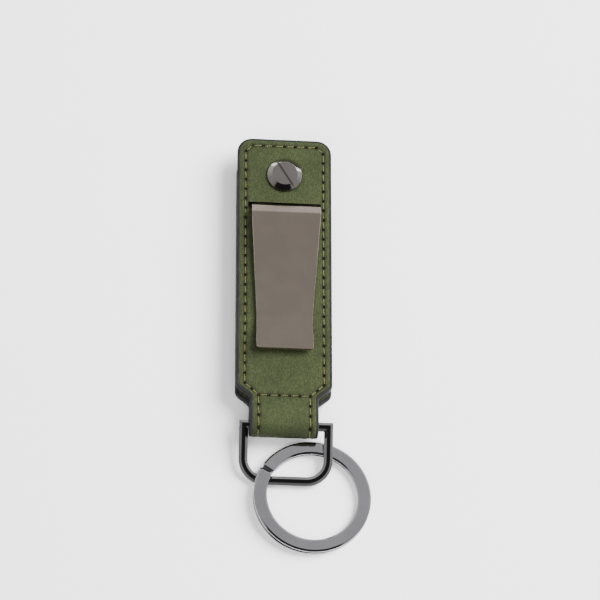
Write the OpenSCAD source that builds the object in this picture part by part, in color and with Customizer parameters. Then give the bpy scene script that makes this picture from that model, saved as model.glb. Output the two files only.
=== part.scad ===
// Keychain with a money clip: a lined leather strap folded round a D-ring, a slotted binding screw,
// a spring clip that comes out through a slit, and a flat split ring.
// Lengths are in mm. The origin is on the screw's axis in the plane that the part lies on, +Y runs to the
// screw end and +Z to the front.

/* [Strap] */
// Width of both panels, painted edges included
panel_w = 25; // [22:0.5:30]
// Width of the neck that runs into the loop
neck_w = 17.6; // [15:0.2:19]
// Ring bar axis to the end of the front panel
front_reach = 83.2; // [78:0.2:95]
// How much shorter the back panel is than the front one
back_short = 5; // [3:0.5:6]
// How much lower the back panel's shoulders sit
back_shift = 1.3; // [0:0.1:2]
// Radius of the panel corners
corner_r = 3.8; // [2:0.2:6]
// Ring bar axis to where the shoulders start
shoulder_low = 6.7; // [6:0.1:9]
// Height of the shoulder curve
shoulder_rise = 4.3; // [3:0.1:6]
// Outer leather thickness
leather_t = 1.2; // [1:0.05:1.6]
// Lining thickness
lining_t = 0.65; // [0.5:0.05:0.9]
// Stiffener board thickness, sunk into the leather's back
board_t = 0.4; // [0.2:0.05:0.6]
// Distance from the panel edge to the board
board_inset = 3.4; // [3:0.1:5]
// Leather left between the front board and the slit
board_end = 1.5; // [1:0.1:3]
// Space between the two linings
panel_gap = 1; // [0.9:0.05:1.4]
// Width of the painted bead on the cut edges
paint_w = 0.35; // [0.2:0.05:0.5]

/* [Loop] */
// Radial room between the bar's corners and the lining
bar_room = 0.1; // [0.05:0.05:0.2]
// Length over which the two legs close on each other
blend_l = 7; // [5:0.5:9]

/* [Stitches] */
// Distance from the panel edge to the stitch line
stitch_inset = 2; // [1.6:0.1:2.6]
// Hole to hole distance along a seam
stitch_pitch = 2.8; // [2.4:0.1:3.4]
// Bare leather between two threads, at the needle hole
stitch_hole = 0.7; // [0.4:0.1:1]
// Thread width
thread_w = 0.5; // [0.4:0.05:0.7]

/* [Binding screw] */
// End of the front panel to the screw axis
screw_inset = 10.8; // [10:0.2:13]
// Head diameter, front and back
head_d = 9.4; // [8:0.2:11]
// Flat top diameter
head_flat_d = 6.8; // [5:0.2:8]
// Front head height
head_h = 1.5; // [1:0.1:2]
// Height of the head's upright rim
head_rim_h = 0.45; // [0.2:0.05:0.8]
// Back head height, which carries the strap clear of a table
back_head_h = 2.2; // [2.2:0.05:2.6]
// Screwdriver slot width
slot_w = 0.6; // [0.5:0.05:0.8]
// Screwdriver slot depth
slot_d = 0.8; // [0.5:0.05:1.1]
// Slot direction on the front
slot_turn = -58.6; // [-90:0.1:90]
// Thread diameter
thread_d = 3; // [2.5:0.1:3.5]
// Post barrel diameter
barrel_d = 4.8; // [4.4:0.1:5.4]
// Depth of the turned neck under the front head
relief_h = 0.6; // [0.4:0.1:0.8]

/* [Money clip] */
// Strip thickness
clip_t = 0.8; // [0.6:0.05:0.9]
// Panel edge to the side of the strip at the fold
clip_margin = 3.2; // [3:0.1:4]
// How much each side of the strip draws in from the fold to the lower crease
clip_taper = 1.8; // [1:0.1:2.5]
// How much each side of the lip flares out again
lip_flare = 0.1; // [0:0.05:0.4]
// Screw axis to the fold
fold_drop = 12.1; // [11.6:0.1:13]
// Slope at which the strip rises through the slit
rise_angle = 34; // [32:1:45]
// Fold to lower crease
leaf_run = 29.8; // [26:0.2:33]
// Lower crease to the end of the lip
lip_run = 10.2; // [8:0.1:12]
// Height of the fold's top over the leather
fold_rise = 2.2; // [1.8:0.1:2.6]
// Height of the lip's end over the leather
lip_rise = 2.2; // [1.4:0.1:3]
// Corner radius of the lip
lip_r = 1.1; // [0.6:0.1:2]
// Screw axis to the end of the anchor tab
tab_reach = 5.2; // [4.8:0.1:5.4]
// Corner radius of the anchor tab
tab_r = 3; // [2:0.2:4]
// Cut between the fixed fold and the leaf
spring_cut = 0.2; // [0.15:0.05:0.3]

/* [D-ring] */
// Inner width
d_inner_w = 20; // [19.6:0.1:20.4]
// Bar axis to the axis of the lower bar
d_reach = 14.64; // [14.64:0.02:16]
// Bar width, seen from the front
bar_w = 2.4; // [2.3:0.02:2.44]
// Bar thickness
bar_t = 1.6; // [1.4:0.05:1.8]
// Width of the bar's flat
bar_flat_w = 0.96; // [0.8:0.02:1.1]
// Height of the bar's upright edge
bar_edge_h = 0.6; // [0.4:0.05:0.8]
// Bend radius of the lower corners, at the bar axis
d_low_r = 5.7; // [5.5:0.05:6]
// Sideways rest position in the loop
d_side = 0.7; // [0.5:0.05:0.8]
// How far the ring hangs below the strap at rest
d_dip = 13.4; // [13.4:0.1:14]

/* [Key ring] */
// Outer diameter
key_d = 31; // [30.6:0.1:31.2]
// Width of the flat wire
key_w = 3.5; // [3.3:0.05:3.6]
// Thickness of the wire
wire_t = 0.95; // [0.8:0.05:0.95]
// Width of the wire's flat, between its rounded edges
wire_flat_w = 2.5; // [2.3:0.05:2.7]
// Height of the wire's upright edge
wire_edge_h = 0.35; // [0.25:0.05:0.5]
// Space between the two coils
coil_gap = 0.06; // [0.05:0.01:0.1]
// Ring centre, sideways from the strap's middle
key_side = 7.8; // [7.7:0.05:7.9]
// Ring centre, below the bar axis
key_drop = 18.5; // [18.4:0.05:18.6]
// How far the D-ring wedges the upper coil open
coil_lift = 1.5; // [1.45:0.01:1.55]
// Lift of the upper coil's free end
end_lift = 0.5; // [0.4:0.05:0.6]
// Angle of the upper coil's free end
end_angle = 147; // [146:0.5:148]
// Angle of the lower coil's free end
low_end_angle = 172; // [171.5:0.5:174]
// Angle where the jog starts
jog_angle = 155.5; // [155:0.5:156]
// Angle where the jog has come down
jog_low_angle = 141; // [140:0.5:142]
// Angle up to which the coils lie flat on each other
flat_angle = -60; // [-70:1:-50]
// Angle over which the free end bends up
end_bend_angle = 48; // [40:1:60]

/* [Fits] */
// Radial room round the post barrel
post_room = 0.1; // [0.05:0.05:0.2]
// Radial room on the thread
thread_room = 0.05; // [0.02:0.01:0.1]
// Room round the strip in the slit
slit_room = 0.25; // [0.2:0.05:0.4]
// Room between the leaf's crease and the leather
leaf_room = 0.08; // [0.05:0.01:0.2]

/* [Hidden] */
$fn = 64;
// Overrun of every cut
cut_over = 0.5;
// Half and quarter turns
half_turn = 180;
right_angle = 90;
full_turn = 360;

strap_t = leather_t + lining_t;
stack_t = strap_t * 2 + panel_gap;
mid_z = stack_t / 2;
bar_corner_r = sqrt(pow(bar_w / 2, 2) + pow(bar_edge_h / 2, 2));
loop_in_r = bar_corner_r + bar_room;
loop_out_r = loop_in_r + strap_t;
back_reach = front_reach - back_short;
screw_y = front_reach - screw_inset;
clip_top_w = panel_w - clip_margin * 2;
clip_waist_w = clip_top_w - clip_taper * 2;
clip_tip_w = clip_waist_w + lip_flare * 2;
fold_y = screw_y - fold_drop;
crease_y = fold_y - leaf_run;
lip_y = crease_y - lip_run;
fold_z = stack_t + fold_rise - clip_t / 2;
crease_z = stack_t + leaf_room + clip_t / 2;
lip_z = stack_t + lip_rise - clip_t / 2;
// Where the strip leaves the space between the panels
bend_y = fold_y + (fold_z - mid_z) / tan(rise_angle);
slit_w = clip_top_w + slit_room * 4;
slit_t = clip_t + slit_room * 2;
// Where the slit's lower side meets the front face
slit_low_y = fold_y + (fold_z - stack_t) / tan(rise_angle) - slit_t / 2 / sin(rise_angle);
floor_z = -back_head_h;

// Samples along a curve, and steps of the wire's two sweeps
curve_n = 16;
ramp_n = 53;
end_n = 12;

key_out_r = key_d / 2;
key_in_r = key_out_r - key_w;
key_mid_r = key_out_r - key_w / 2;
// How much thinner the swept wire is on each side, and how far it runs into the coils
sweep_skin = 0.02;
sweep_lap_angle = 2;
wire_pts = wire_corners(0);
sweep_pts = wire_corners(sweep_skin);
upper_z = wire_t + coil_gap;
// The ramp is at its full height this far before the jog
jog_lead_angle = 4;
ramp_full_angle = jog_angle - full_turn + jog_lead_angle;

// Half the space between the linings at a distance y from the bar axis
function half_gap(y) = y >= blend_l
    ? panel_gap / 2
    : panel_gap / 2 + (loop_in_r - panel_gap / 2) * (1 + cos(half_turn * y / blend_l)) / 2;

// Smooth step from 0 to 1
function ease(t) = (1 - cos(half_turn * min(max(t, 0), 1))) / 2;

// Stations along a leg, from the bar axis to its end
function stations(reach) = concat([for (i = [0 : curve_n]) blend_l * i / curve_n], [reach]);

// Places what is drawn from the bar axis and the strap's back face
module from_bar() {
    translate([0, -screw_y, back_head_h]) children();
}

// Draws a side profile, given in Y and Z, out to both sides
module across(width) {
    translate([-width / 2, 0, 0])
        rotate([right_angle, 0, right_angle])
            linear_extrude(height = width) children();
}

// One leg of the strap's side profile, between two depths from its inner face; side is 1 or -1
module leg_2d(side, inner, outer, reach) {
    ys = stations(reach);
    last = len(ys) - 1;
    low = side > 0 ? inner : outer;
    high = side > 0 ? outer : inner;
    polygon(concat(
        [for (i = [0 : last]) [ys[i], side * (half_gap(ys[i]) + low)]],
        [for (i = [0 : last]) [ys[last - i], side * (half_gap(ys[last - i]) + high)]]
    ));
}

// Side profile of one layer of the folded strip
module layer_2d(inner, outer) {
    translate([0, mid_z]) {
        leg_2d(1, inner, outer, front_reach);
        leg_2d(-1, inner, outer, back_reach);
        intersection() {
            difference() {
                circle(r = loop_in_r + outer);
                circle(r = loop_in_r + inner);
            }
            translate([-loop_out_r * 2, -loop_out_r * 2]) square([loop_out_r * 2, loop_out_r * 4]);
        }
    }
}

// Outline of a panel with its shoulders and neck, seen from the front
module outline_2d(reach, low, inset) {
    half_panel = panel_w / 2 - inset;
    half_neck = neck_w / 2 - inset;
    top = reach - inset;
    r = corner_r - inset;
    base = low + inset;
    rows = [for (i = [0 : curve_n]) i / curve_n];
    xs = [for (t = rows) half_neck + (half_panel - half_neck) * ease(t)];
    polygon(concat(
        [for (i = [0 : curve_n]) [xs[i], base + shoulder_rise * rows[i]]],
        [for (i = [0 : curve_n]) [-xs[curve_n - i], base + shoulder_rise * rows[curve_n - i]]]
    ));
    translate([-half_neck, -loop_out_r * 2]) square([half_neck * 2, base + loop_out_r * 2]);
    translate([-half_panel, base + shoulder_rise]) square([half_panel * 2, top - r - base - shoulder_rise]);
    translate([r - half_panel, top - r]) square([(half_panel - r) * 2, r]);
    for (side = [-1, 1])
        translate([side * (half_panel - r), top - r]) circle(r = r);
}

// Everything inside the strap's outline: front half above the middle plane, back half below it
module outline_body(inset) {
    translate([0, 0, mid_z])
        linear_extrude(height = stack_t) outline_2d(front_reach, shoulder_low, inset);
    translate([0, 0, mid_z - stack_t])
        linear_extrude(height = stack_t) outline_2d(back_reach, shoulder_low - back_shift, inset);
    translate([inset - neck_w / 2, -loop_out_r * 2, mid_z - stack_t])
        cube([neck_w - inset * 2, loop_out_r * 2, stack_t * 2]);
}

// The strip's layer between two depths, cut to the strap's outline
module strap_layer(inner, outer, inset) {
    intersection() {
        across(panel_w * 2) layer_2d(inner, outer);
        outline_body(inset);
    }
}

// Holes through the strap: the post and, in the front panel, the clip's slit
module strap_cuts() {
    slit_over = [-cos(rise_angle), sin(rise_angle)] * stack_t * 2;
    translate([0, screw_y, -cut_over]) cylinder(d = barrel_d + post_room * 2, h = stack_t + cut_over * 2);
    intersection() {
        across(slit_w) strip_2d([bend_y, mid_z] - slit_over, [bend_y, mid_z] + slit_over, slit_t);
        translate([-slit_w, 0, mid_z]) cube([slit_w * 2, front_reach, stack_t]);
    }
}

// A stiffener board at a height, between a low and a high end
module board(z, low, high) {
    half_board = panel_w / 2 - board_inset;
    translate([-half_board, low, z])
        cube([half_board * 2, high - low, board_t]);
}

// The front board ends short of the slit
module front_board_blank() {
    board(mid_z + panel_gap / 2 + lining_t, shoulder_low + shoulder_rise,
        slit_low_y - board_end);
}

module back_board_blank() {
    board(mid_z - panel_gap / 2 - lining_t - board_t, shoulder_low - back_shift + shoulder_rise,
        back_reach - board_inset);
}

module strap_leather() {
    color([0.36, 0.39, 0.26])
        from_bar()
            difference() {
                strap_layer(lining_t, strap_t, paint_w);
                strap_cuts();
                front_board_blank();
                back_board_blank();
            }
}

module strap_lining() {
    color([0.24, 0.27, 0.18])
        from_bar()
            difference() {
                strap_layer(0, lining_t, paint_w);
                strap_cuts();
            }
}

module edge_paint() {
    color([0.12, 0.12, 0.12])
        from_bar()
            difference() {
                strap_layer(0, strap_t, 0);
                outline_body(paint_w);
            }
}

module front_board() {
    color([0.55, 0.5, 0.42])
        from_bar() front_board_blank();
}

module back_board() {
    color([0.55, 0.5, 0.42])
        from_bar()
            difference() {
                back_board_blank();
                strap_cuts();
            }
}

// One thread length lying on a face, from hole to hole
module stitch(from, to) {
    run = to - from;
    length = norm(run) - stitch_hole;
    middle = (from + to) / 2;
    translate([middle[0], middle[1], 0])
        rotate([0, 0, atan2(run[1], run[0])])
            translate([-length / 2, 0, 0])
                rotate([right_angle, 0, right_angle])
                    linear_extrude(height = length)
                        intersection() {
                            circle(d = thread_w);
                            translate([-thread_w, 0]) square([thread_w * 2, thread_w]);
                        }
}

// A straight run of stitches with whole steps as near the pitch as they fit
module stitch_run(from, to) {
    count = max(1, round(norm(to - from) / stitch_pitch));
    for (i = [0 : count - 1])
        stitch(from + (to - from) * i / count, from + (to - from) * (i + 1) / count);
}

// A panel's seam, lying in the plane z = 0
module panel_seam(reach, low) {
    x = panel_w / 2 - stitch_inset;
    neck_x = neck_w / 2 - stitch_inset;
    top = reach - stitch_inset;
    cut = corner_r - stitch_inset;
    bend = low + shoulder_rise;
    cross_y = low + thread_w * 2;
    stitch_run([-x, bend], [-x, top - cut]);
    stitch([-x, top - cut], [cut - x, top]);
    stitch_run([cut - x, top], [x - cut, top]);
    stitch([x - cut, top], [x, top - cut]);
    stitch_run([x, top - cut], [x, bend]);
    stitch_run([x, bend], [neck_x, cross_y]);
    stitch_run([-neck_x, cross_y], [-x, bend]);
}

module front_seam() {
    color([0.55, 0.5, 0.34])
        from_bar()
            translate([0, 0, stack_t]) panel_seam(front_reach, shoulder_low);
}

// The back seam's threads go in under the post's head
module back_seam() {
    color([0.55, 0.5, 0.34])
        from_bar()
            difference() {
                mirror([0, 0, 1]) panel_seam(back_reach, shoulder_low - back_shift);
                translate([0, screw_y, -thread_w]) cylinder(d = head_d + thread_w, h = thread_w * 2);
            }
}

// The row across the neck, on the flat part of the front
module neck_seam() {
    neck_x = neck_w / 2 - stitch_inset;
    cross_y = shoulder_low + thread_w * 2;
    color([0.55, 0.5, 0.34])
        from_bar()
            translate([0, 0, stack_t]) stitch_run([-neck_x, cross_y], [neck_x, cross_y]);
}

// Bevelled head, its seat at z = 0
module screw_head(height, rim) {
    rotate_extrude()
        polygon([[0, 0], [head_d / 2, 0], [head_d / 2, rim], [head_flat_d / 2, height], [0, height]]);
}

module binding_screw() {
    shank_h = stack_t - relief_h;
    color([0.46, 0.44, 0.42])
        from_bar()
            translate([0, screw_y, stack_t]) {
                difference() {
                    screw_head(head_h, head_rim_h);
                    rotate([0, 0, slot_turn])
                        translate([-head_d, -slot_w / 2, head_h - slot_d])
                            cube([head_d * 2, slot_w, head_h]);
                }
                translate([0, 0, -shank_h]) cylinder(d = thread_d, h = shank_h + head_rim_h / 2);
            }
}

module binding_post() {
    bore_d = thread_d + thread_room * 2;
    color([0.46, 0.44, 0.42])
        from_bar()
            translate([0, screw_y, 0])
                difference() {
                    union() {
                        mirror([0, 0, 1]) screw_head(back_head_h, head_rim_h * 2);
                        translate([0, 0, -head_rim_h / 2])
                            cylinder(d = barrel_d, h = stack_t - thread_room + head_rim_h / 2);
                    }
                    translate([0, 0, relief_h / 2]) cylinder(d = bore_d, h = stack_t);
                }
}

// One straight length of strip in the side view
module strip_2d(from, to, thick) {
    run = to - from;
    translate(from)
        rotate(atan2(run[1], run[0]))
            translate([0, -thick / 2]) square([norm(run), thick]);
}

// Strip through three points with a mitred crease at the second
module creased_strip_2d(start, crease, end) {
    in_run = crease - start;
    out_run = end - crease;
    in_n = [-in_run[1], in_run[0]] / norm(in_run) * clip_t / 2;
    out_n = [-out_run[1], out_run[0]] / norm(out_run) * clip_t / 2;
    crease_n = (in_n + out_n) / (1 + in_n * out_n / (in_n * in_n));
    polygon([
        start + in_n, crease + crease_n, end + out_n,
        end - out_n, crease - crease_n, start - in_n
    ]);
}

// The clip's outline from the front: tapering leaf, flared lip, tab under the panel
module clip_outline_2d() {
    tip_x = clip_tip_w / 2;
    tip_low = lip_y + lip_r;
    tab_x = clip_top_w / 2;
    tab_top = screw_y + tab_reach;
    polygon([
        [-tab_x, fold_y], [-clip_waist_w / 2, crease_y], [-tip_x, tip_low],
        [tip_x, tip_low], [clip_waist_w / 2, crease_y], [tab_x, fold_y]
    ]);
    translate([lip_r - tip_x, lip_y]) square([(tip_x - lip_r) * 2, lip_r]);
    for (side = [-1, 1])
        translate([side * (tip_x - lip_r), tip_low]) circle(r = lip_r);
    translate([-tab_x, fold_y]) square([tab_x * 2, tab_top - tab_r - fold_y]);
    translate([tab_r - tab_x, tab_top - tab_r]) square([(tab_x - tab_r) * 2, tab_r]);
    for (side = [-1, 1])
        translate([side * (tab_x - tab_r), tab_top - tab_r]) circle(r = tab_r);
}

// Cuts a strip drawn in the side view to the clip's outline
module clip_part() {
    intersection() {
        across(panel_w) children();
        linear_extrude(height = stack_t * 4, center = true) clip_outline_2d();
    }
}

module clip_anchor() {
    color([0.48, 0.44, 0.4])
        from_bar()
            difference() {
                clip_part()
                    creased_strip_2d([screw_y + tab_reach, mid_z], [bend_y, mid_z], [fold_y, fold_z]);
                translate([0, screw_y, 0]) cylinder(d = barrel_d + post_room * 2, h = stack_t);
                translate([-panel_w, fold_y - stack_t + spring_cut / 2, 0])
                    cube([panel_w * 2, stack_t, stack_t * 4]);
            }
}

module clip_leaf() {
    color([0.48, 0.44, 0.4])
        from_bar()
            clip_part()
                creased_strip_2d([fold_y - spring_cut / 2, fold_z], [crease_y, crease_z], [lip_y, lip_z]);
}

// Section of the ring bar, eight-sided with wide bevels
module bar_2d() {
    polygon([
        [bar_flat_w / 2, bar_t / 2], [bar_w / 2, bar_edge_h / 2],
        [bar_w / 2, -bar_edge_h / 2], [bar_flat_w / 2, -bar_t / 2],
        [-bar_flat_w / 2, -bar_t / 2], [-bar_w / 2, -bar_edge_h / 2],
        [-bar_w / 2, bar_edge_h / 2], [-bar_flat_w / 2, bar_t / 2]
    ]);
}

// A straight bar between two points of the ring's plane
module d_bar(from, to) {
    run = to - from;
    translate([from[0], from[1], 0])
        rotate([0, 0, atan2(run[1], run[0])])
            rotate([right_angle, 0, right_angle])
                linear_extrude(height = norm(run)) bar_2d();
}

// Keeps what lies between the mitre planes of the two upper corners, at their top or at their sides
module mitred(x, top) {
    intersection() {
        children();
        linear_extrude(height = bar_t * 2, center = true)
            polygon(top
                ? [[x + bar_w, bar_w], [-x - bar_w, bar_w], [bar_w - x, -bar_w], [x - bar_w, -bar_w]]
                : [[x + bar_w, bar_w], [x - bar_w, -bar_w], [x - bar_w, -d_reach], [x + bar_w, -d_reach]]);
    }
}

// A bent corner about a point of the ring's plane
module d_corner(centre, radius, start) {
    translate([centre[0], centre[1], 0])
        rotate([0, 0, start])
            rotate_extrude(angle = right_angle)
                translate([radius, 0]) bar_2d();
}

module d_ring() {
    x = (d_inner_w + bar_w) / 2;
    color([0.12, 0.12, 0.13])
        from_bar()
            translate([d_side, 0, mid_z])
                rotate([d_dip, 0, 0]) {
                    mitred(x, true) d_bar([-x - bar_w, 0], [x + bar_w, 0]);
                    mitred(x, false) d_bar([x, bar_w], [x, d_low_r - d_reach]);
                    rotate([0, half_turn, 0])
                        mitred(x, false) d_bar([x, bar_w], [x, d_low_r - d_reach]);
                    d_bar([x - d_low_r, -d_reach], [d_low_r - x, -d_reach]);
                    d_corner([d_low_r - x, d_low_r - d_reach], d_low_r, half_turn);
                    d_corner([x - d_low_r, d_low_r - d_reach], d_low_r, half_turn + right_angle);
                }
}

// Corners of the key ring's wire, as radius and height, drawn in by a skin
function wire_corners(skin) = [
    [key_mid_r - wire_flat_w / 2, skin], [key_mid_r + wire_flat_w / 2, skin],
    [key_out_r - skin, (wire_t - wire_edge_h) / 2], [key_out_r - skin, (wire_t + wire_edge_h) / 2],
    [key_mid_r + wire_flat_w / 2, wire_t - skin], [key_mid_r - wire_flat_w / 2, wire_t - skin],
    [key_in_r + skin, (wire_t + wire_edge_h) / 2], [key_in_r + skin, (wire_t - wire_edge_h) / 2]
];

// Height of the wire's underside along the upper coil's free end
function end_z(turn) = upper_z + end_lift * pow(max(turn, 0) / end_bend_angle, 2);

// Height of the wire's underside along the ramp and the jog
function ramp_z(a) = a >= ramp_full_angle
    ? upper_z + coil_lift * ease((flat_angle - a) / (flat_angle - ramp_full_angle))
    : (upper_z + coil_lift) * (1 - ease((jog_angle - full_turn - a) / (jog_angle - jog_low_angle)));

// A coil's arc from one angle to another
module coil_arc(start, end) {
    rotate([0, 0, start])
        rotate_extrude(angle = end - start)
            polygon(wire_pts);
}

// Wire swept through rising angles, each with the height of its underside
module wire_sweep(angles, heights) {
    last = len(angles) - 1;
    sides = len(sweep_pts);
    points = [for (i = [0 : last]) for (p = sweep_pts)
        [p[0] * cos(angles[i]), p[0] * sin(angles[i]), p[1] + heights[i]]];
    walls = [for (i = [0 : last - 1]) for (k = [0 : sides - 1]) for (half = [0, 1])
        half == 0
            ? [i * sides + k, (i + 1) * sides + (k + 1) % sides, (i + 1) * sides + k]
            : [i * sides + k, i * sides + (k + 1) % sides, (i + 1) * sides + (k + 1) % sides]];
    caps = [[for (k = [0 : sides - 1]) sides - 1 - k], [for (k = [0 : sides - 1]) last * sides + k]];
    polyhedron(points = points, faces = concat(walls, caps));
}

module key_ring() {
    ramp_from = jog_low_angle - full_turn - sweep_lap_angle;
    ramp_to = flat_angle + sweep_lap_angle;
    ramp_angles = [for (i = [0 : ramp_n]) ramp_from + (ramp_to - ramp_from) * i / ramp_n];
    end_from = end_angle - end_bend_angle;
    bend_angles = [for (i = [0 : end_n]) end_from + end_bend_angle * i / end_n];
    end_angles = concat([end_from - sweep_lap_angle], bend_angles);
    color([0.56, 0.56, 0.58])
        from_bar()
            translate([key_side, -key_drop, floor_z]) {
                coil_arc(low_end_angle - full_turn, jog_low_angle);
                translate([0, 0, upper_z]) coil_arc(flat_angle, end_from);
                wire_sweep(ramp_angles, [for (a = ramp_angles) ramp_z(a)]);
                wire_sweep(end_angles, [for (a = end_angles) end_z(a - end_from)]);
            }
}

strap_leather();
strap_lining();
edge_paint();
front_board();
back_board();
front_seam();
neck_seam();
back_seam();
binding_screw();
binding_post();
clip_anchor();
clip_leaf();
d_ring();
key_ring();
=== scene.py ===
"""Looks for the keychain with a money clip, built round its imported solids.

The strap, its lining and its painted edges are lofted along one folded strip, the seams are laid by
Geometry Nodes, and the metal pieces are swept, bent or turned with rounded edges. Lengths are in
millimetres until a mesh is made, in the frame of the solids: the screw's axis at x = y = 0, the
table at z = 0 and the rings towards -y.
"""

import logging
import math
from collections.abc import Sequence
from dataclasses import dataclass, field
from enum import Enum

import bpy
import numpy as np
from mathutils import Matrix, Vector


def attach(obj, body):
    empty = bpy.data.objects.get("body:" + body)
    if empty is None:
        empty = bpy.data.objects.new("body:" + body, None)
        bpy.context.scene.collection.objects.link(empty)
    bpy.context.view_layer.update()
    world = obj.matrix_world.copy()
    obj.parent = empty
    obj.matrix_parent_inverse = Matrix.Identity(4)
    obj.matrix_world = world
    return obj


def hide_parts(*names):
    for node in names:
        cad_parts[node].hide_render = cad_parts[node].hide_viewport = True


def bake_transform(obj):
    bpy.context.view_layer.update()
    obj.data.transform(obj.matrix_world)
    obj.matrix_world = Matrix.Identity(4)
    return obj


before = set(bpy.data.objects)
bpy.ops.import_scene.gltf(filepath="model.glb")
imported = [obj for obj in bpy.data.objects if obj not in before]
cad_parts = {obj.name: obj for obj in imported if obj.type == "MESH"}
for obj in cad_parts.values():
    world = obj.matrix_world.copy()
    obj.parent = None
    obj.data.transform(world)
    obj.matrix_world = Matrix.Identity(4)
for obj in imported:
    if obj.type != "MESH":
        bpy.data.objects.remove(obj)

logging.basicConfig(level=logging.INFO, format="%(message)s")
log = logging.getLogger("keychain")

MM = 0.001
SMOOTH_BELOW = 30.0
DRILL_TOP, DRILL_LOW, DRILL_SIDES = 12.0, -1.0, 48

Array = np.ndarray
Faces = list[list[int]]
Solid = tuple[Array, Faces]
Pair = tuple[float, float]
Triple = tuple[float, float, float]
Socket = bpy.types.NodeSocket


class Body(str, Enum):
    """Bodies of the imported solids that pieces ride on."""

    STRAP = "strap"
    LEAF = "clip_leaf"
    DEE = "d_ring"
    SPLIT_RING = "key_ring"


class Slot(str, Enum):
    """Material slots of the part's record."""

    LEATHER = "leather"
    LINING = "lining"
    EDGE = "edge_paint"
    THREAD = "thread"
    SCREW = "screw_metal"
    CLIP = "clip_metal"
    BLACK = "black_metal"
    RING = "ring_metal"


class Face(Enum):
    """Side of the strap's strip that a stitch lies on."""

    OUTER = 1
    INNER = -1


# ---------------------------------------------------------------- small helpers


def ease(t: Array | float) -> Array | float:
    """Smooth step from 0 to 1 for t from 0 to 1."""
    return (1 - np.cos(math.pi * np.clip(t, 0, 1))) / 2


def bell(distance: Array, width: float) -> Array:
    """Bell curve of height 1 that falls off over a width."""
    return np.exp(-((distance / width) ** 2))


def unit(step: Array) -> Array:
    """The step's direction, with length 1."""
    return step / np.linalg.norm(step)


def fillet(corner: Array, back: Array, ahead: Array, radius: float, steps: int) -> tuple[Array, float]:
    """Arc that rounds one corner.

    Args:
        corner: The corner's point.
        back: Unit vector towards the point before.
        ahead: Unit vector towards the point after.
        radius: The arc's radius.
        steps: Facets of the arc.

    Returns:
        The arc's points, and how far its ends are from the corner.
    """
    half = math.acos(np.clip(back @ ahead, -1, 1)) / 2
    reach = radius / math.tan(half)
    centre = corner + unit(back + ahead) * radius / math.sin(half)
    start, end = corner + back * reach - centre, corner + ahead * reach - centre
    sweep = math.acos(np.clip(start @ end / radius**2, -1, 1))
    t = np.linspace(0, 1, steps + 1)[:, None]
    return centre + (np.sin((1 - t) * sweep) * start + np.sin(t * sweep) * end) / math.sin(sweep), reach


def rounded(corners: Sequence[Pair], radius: float, guard: float, steps: int) -> Array:
    """Rounds a convex section's corners.

    Args:
        corners: The section's corner points in order.
        radius: Fillet radius.
        guard: Distance of an extra point on each flat beside a fillet, which keeps the flat's shading.
        steps: Facets of each fillet.

    Returns:
        The closed section as an array of points.
    """
    made = []
    ring = np.array(corners, float)
    for before, corner, after in zip(np.roll(ring, 1, 0), ring, np.roll(ring, -1, 0)):
        back, ahead = unit(before - corner), unit(after - corner)
        arc, reach = fillet(corner, back, ahead, radius, steps)
        made += [corner + back * (reach + guard), *arc, corner + ahead * (reach + guard)]
    return np.array(made)


def loft(rings: Array, looped: bool = False) -> Solid:
    """Skins closed sections, with a cap at each end unless the path closes.

    Args:
        rings: Sections as an array of shape (sections, points, 3).
        looped: Whether the last section joins the first.

    Returns:
        The points and the faces.
    """
    count, sides = rings.shape[:2]
    index = np.arange(count * sides).reshape(count, sides)
    near = index if looped else index[:-1]
    far = np.roll(index, -1, 0) if looped else index[1:]
    quads = np.stack([near, np.roll(near, -1, 1), np.roll(far, -1, 1), far], -1)
    faces = quads.reshape(-1, 4).tolist()
    if not looped:
        faces += [index[0][::-1].tolist(), index[-1].tolist()]
    return rings.reshape(-1, 3), faces


def layer(outer: Array, inner: Array) -> Solid:
    """Closes two grids of the same shape into one solid sheet.

    Args:
        outer: Grid of points of the outer face, shape (rows, columns, 3).
        inner: Grid of points of the inner face.

    Returns:
        The points and the faces.
    """
    rows, columns = outer.shape[:2]
    index = np.arange(rows * columns).reshape(rows, columns)
    quads = np.stack([index[:-1, :-1], index[:-1, 1:], index[1:, 1:], index[1:, :-1]], -1).reshape(-1, 4)
    rim = np.concatenate([index[0, :-1], index[:-1, -1], index[-1, :0:-1], index[:0:-1, 0]])
    after = np.roll(rim, -1)
    size = rows * columns
    walls = np.stack([after, rim, rim + size, after + size], -1)
    faces = np.concatenate([quads, quads[:, ::-1] + size, walls]).tolist()
    return np.concatenate([outer.reshape(-1, 3), inner.reshape(-1, 3)]), faces


def volume(points: Array, faces: Faces) -> float:
    """Signed volume of a closed mesh, positive where its faces point outwards.

    Args:
        points: The mesh's points.
        faces: Its faces.

    Returns:
        The volume in cubic millimetres.
    """
    total = 0.0
    for face in faces:
        fan = points[face]
        total += np.einsum("ij,ij->", np.cross(fan[1:-1], fan[2:]), np.broadcast_to(fan[0], fan[1:-1].shape))
    return total / 6


def add_object(name: str, data: bpy.types.ID) -> bpy.types.Object:
    """Makes an object at the origin and links it to the scene.

    Args:
        name: The object's name.
        data: Its mesh, light or camera.

    Returns:
        The object.
    """
    made = bpy.data.objects.new(name, data)
    bpy.context.scene.collection.objects.link(made)
    return made


def make_piece(
    name: str, shape: Solid, finish: bpy.types.Material, smooth_below: float = SMOOTH_BELOW
) -> bpy.types.Object:
    """Makes a mesh object from a closed shape in millimetres.

    Args:
        name: The piece's name.
        shape: Its points and faces.
        finish: Its material.
        smooth_below: Edges that turn by less than these degrees are shaded smooth.

    Returns:
        The new object, at the origin.
    """
    points, faces = shape
    if volume(points, faces) < 0:
        faces = [face[::-1] for face in faces]
    mesh = bpy.data.meshes.new(name)
    mesh.from_pydata((points * MM).tolist(), [], faces)
    mesh.materials.append(finish)
    made = add_object(name, mesh)
    shade(made, smooth_below)
    return made


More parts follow.
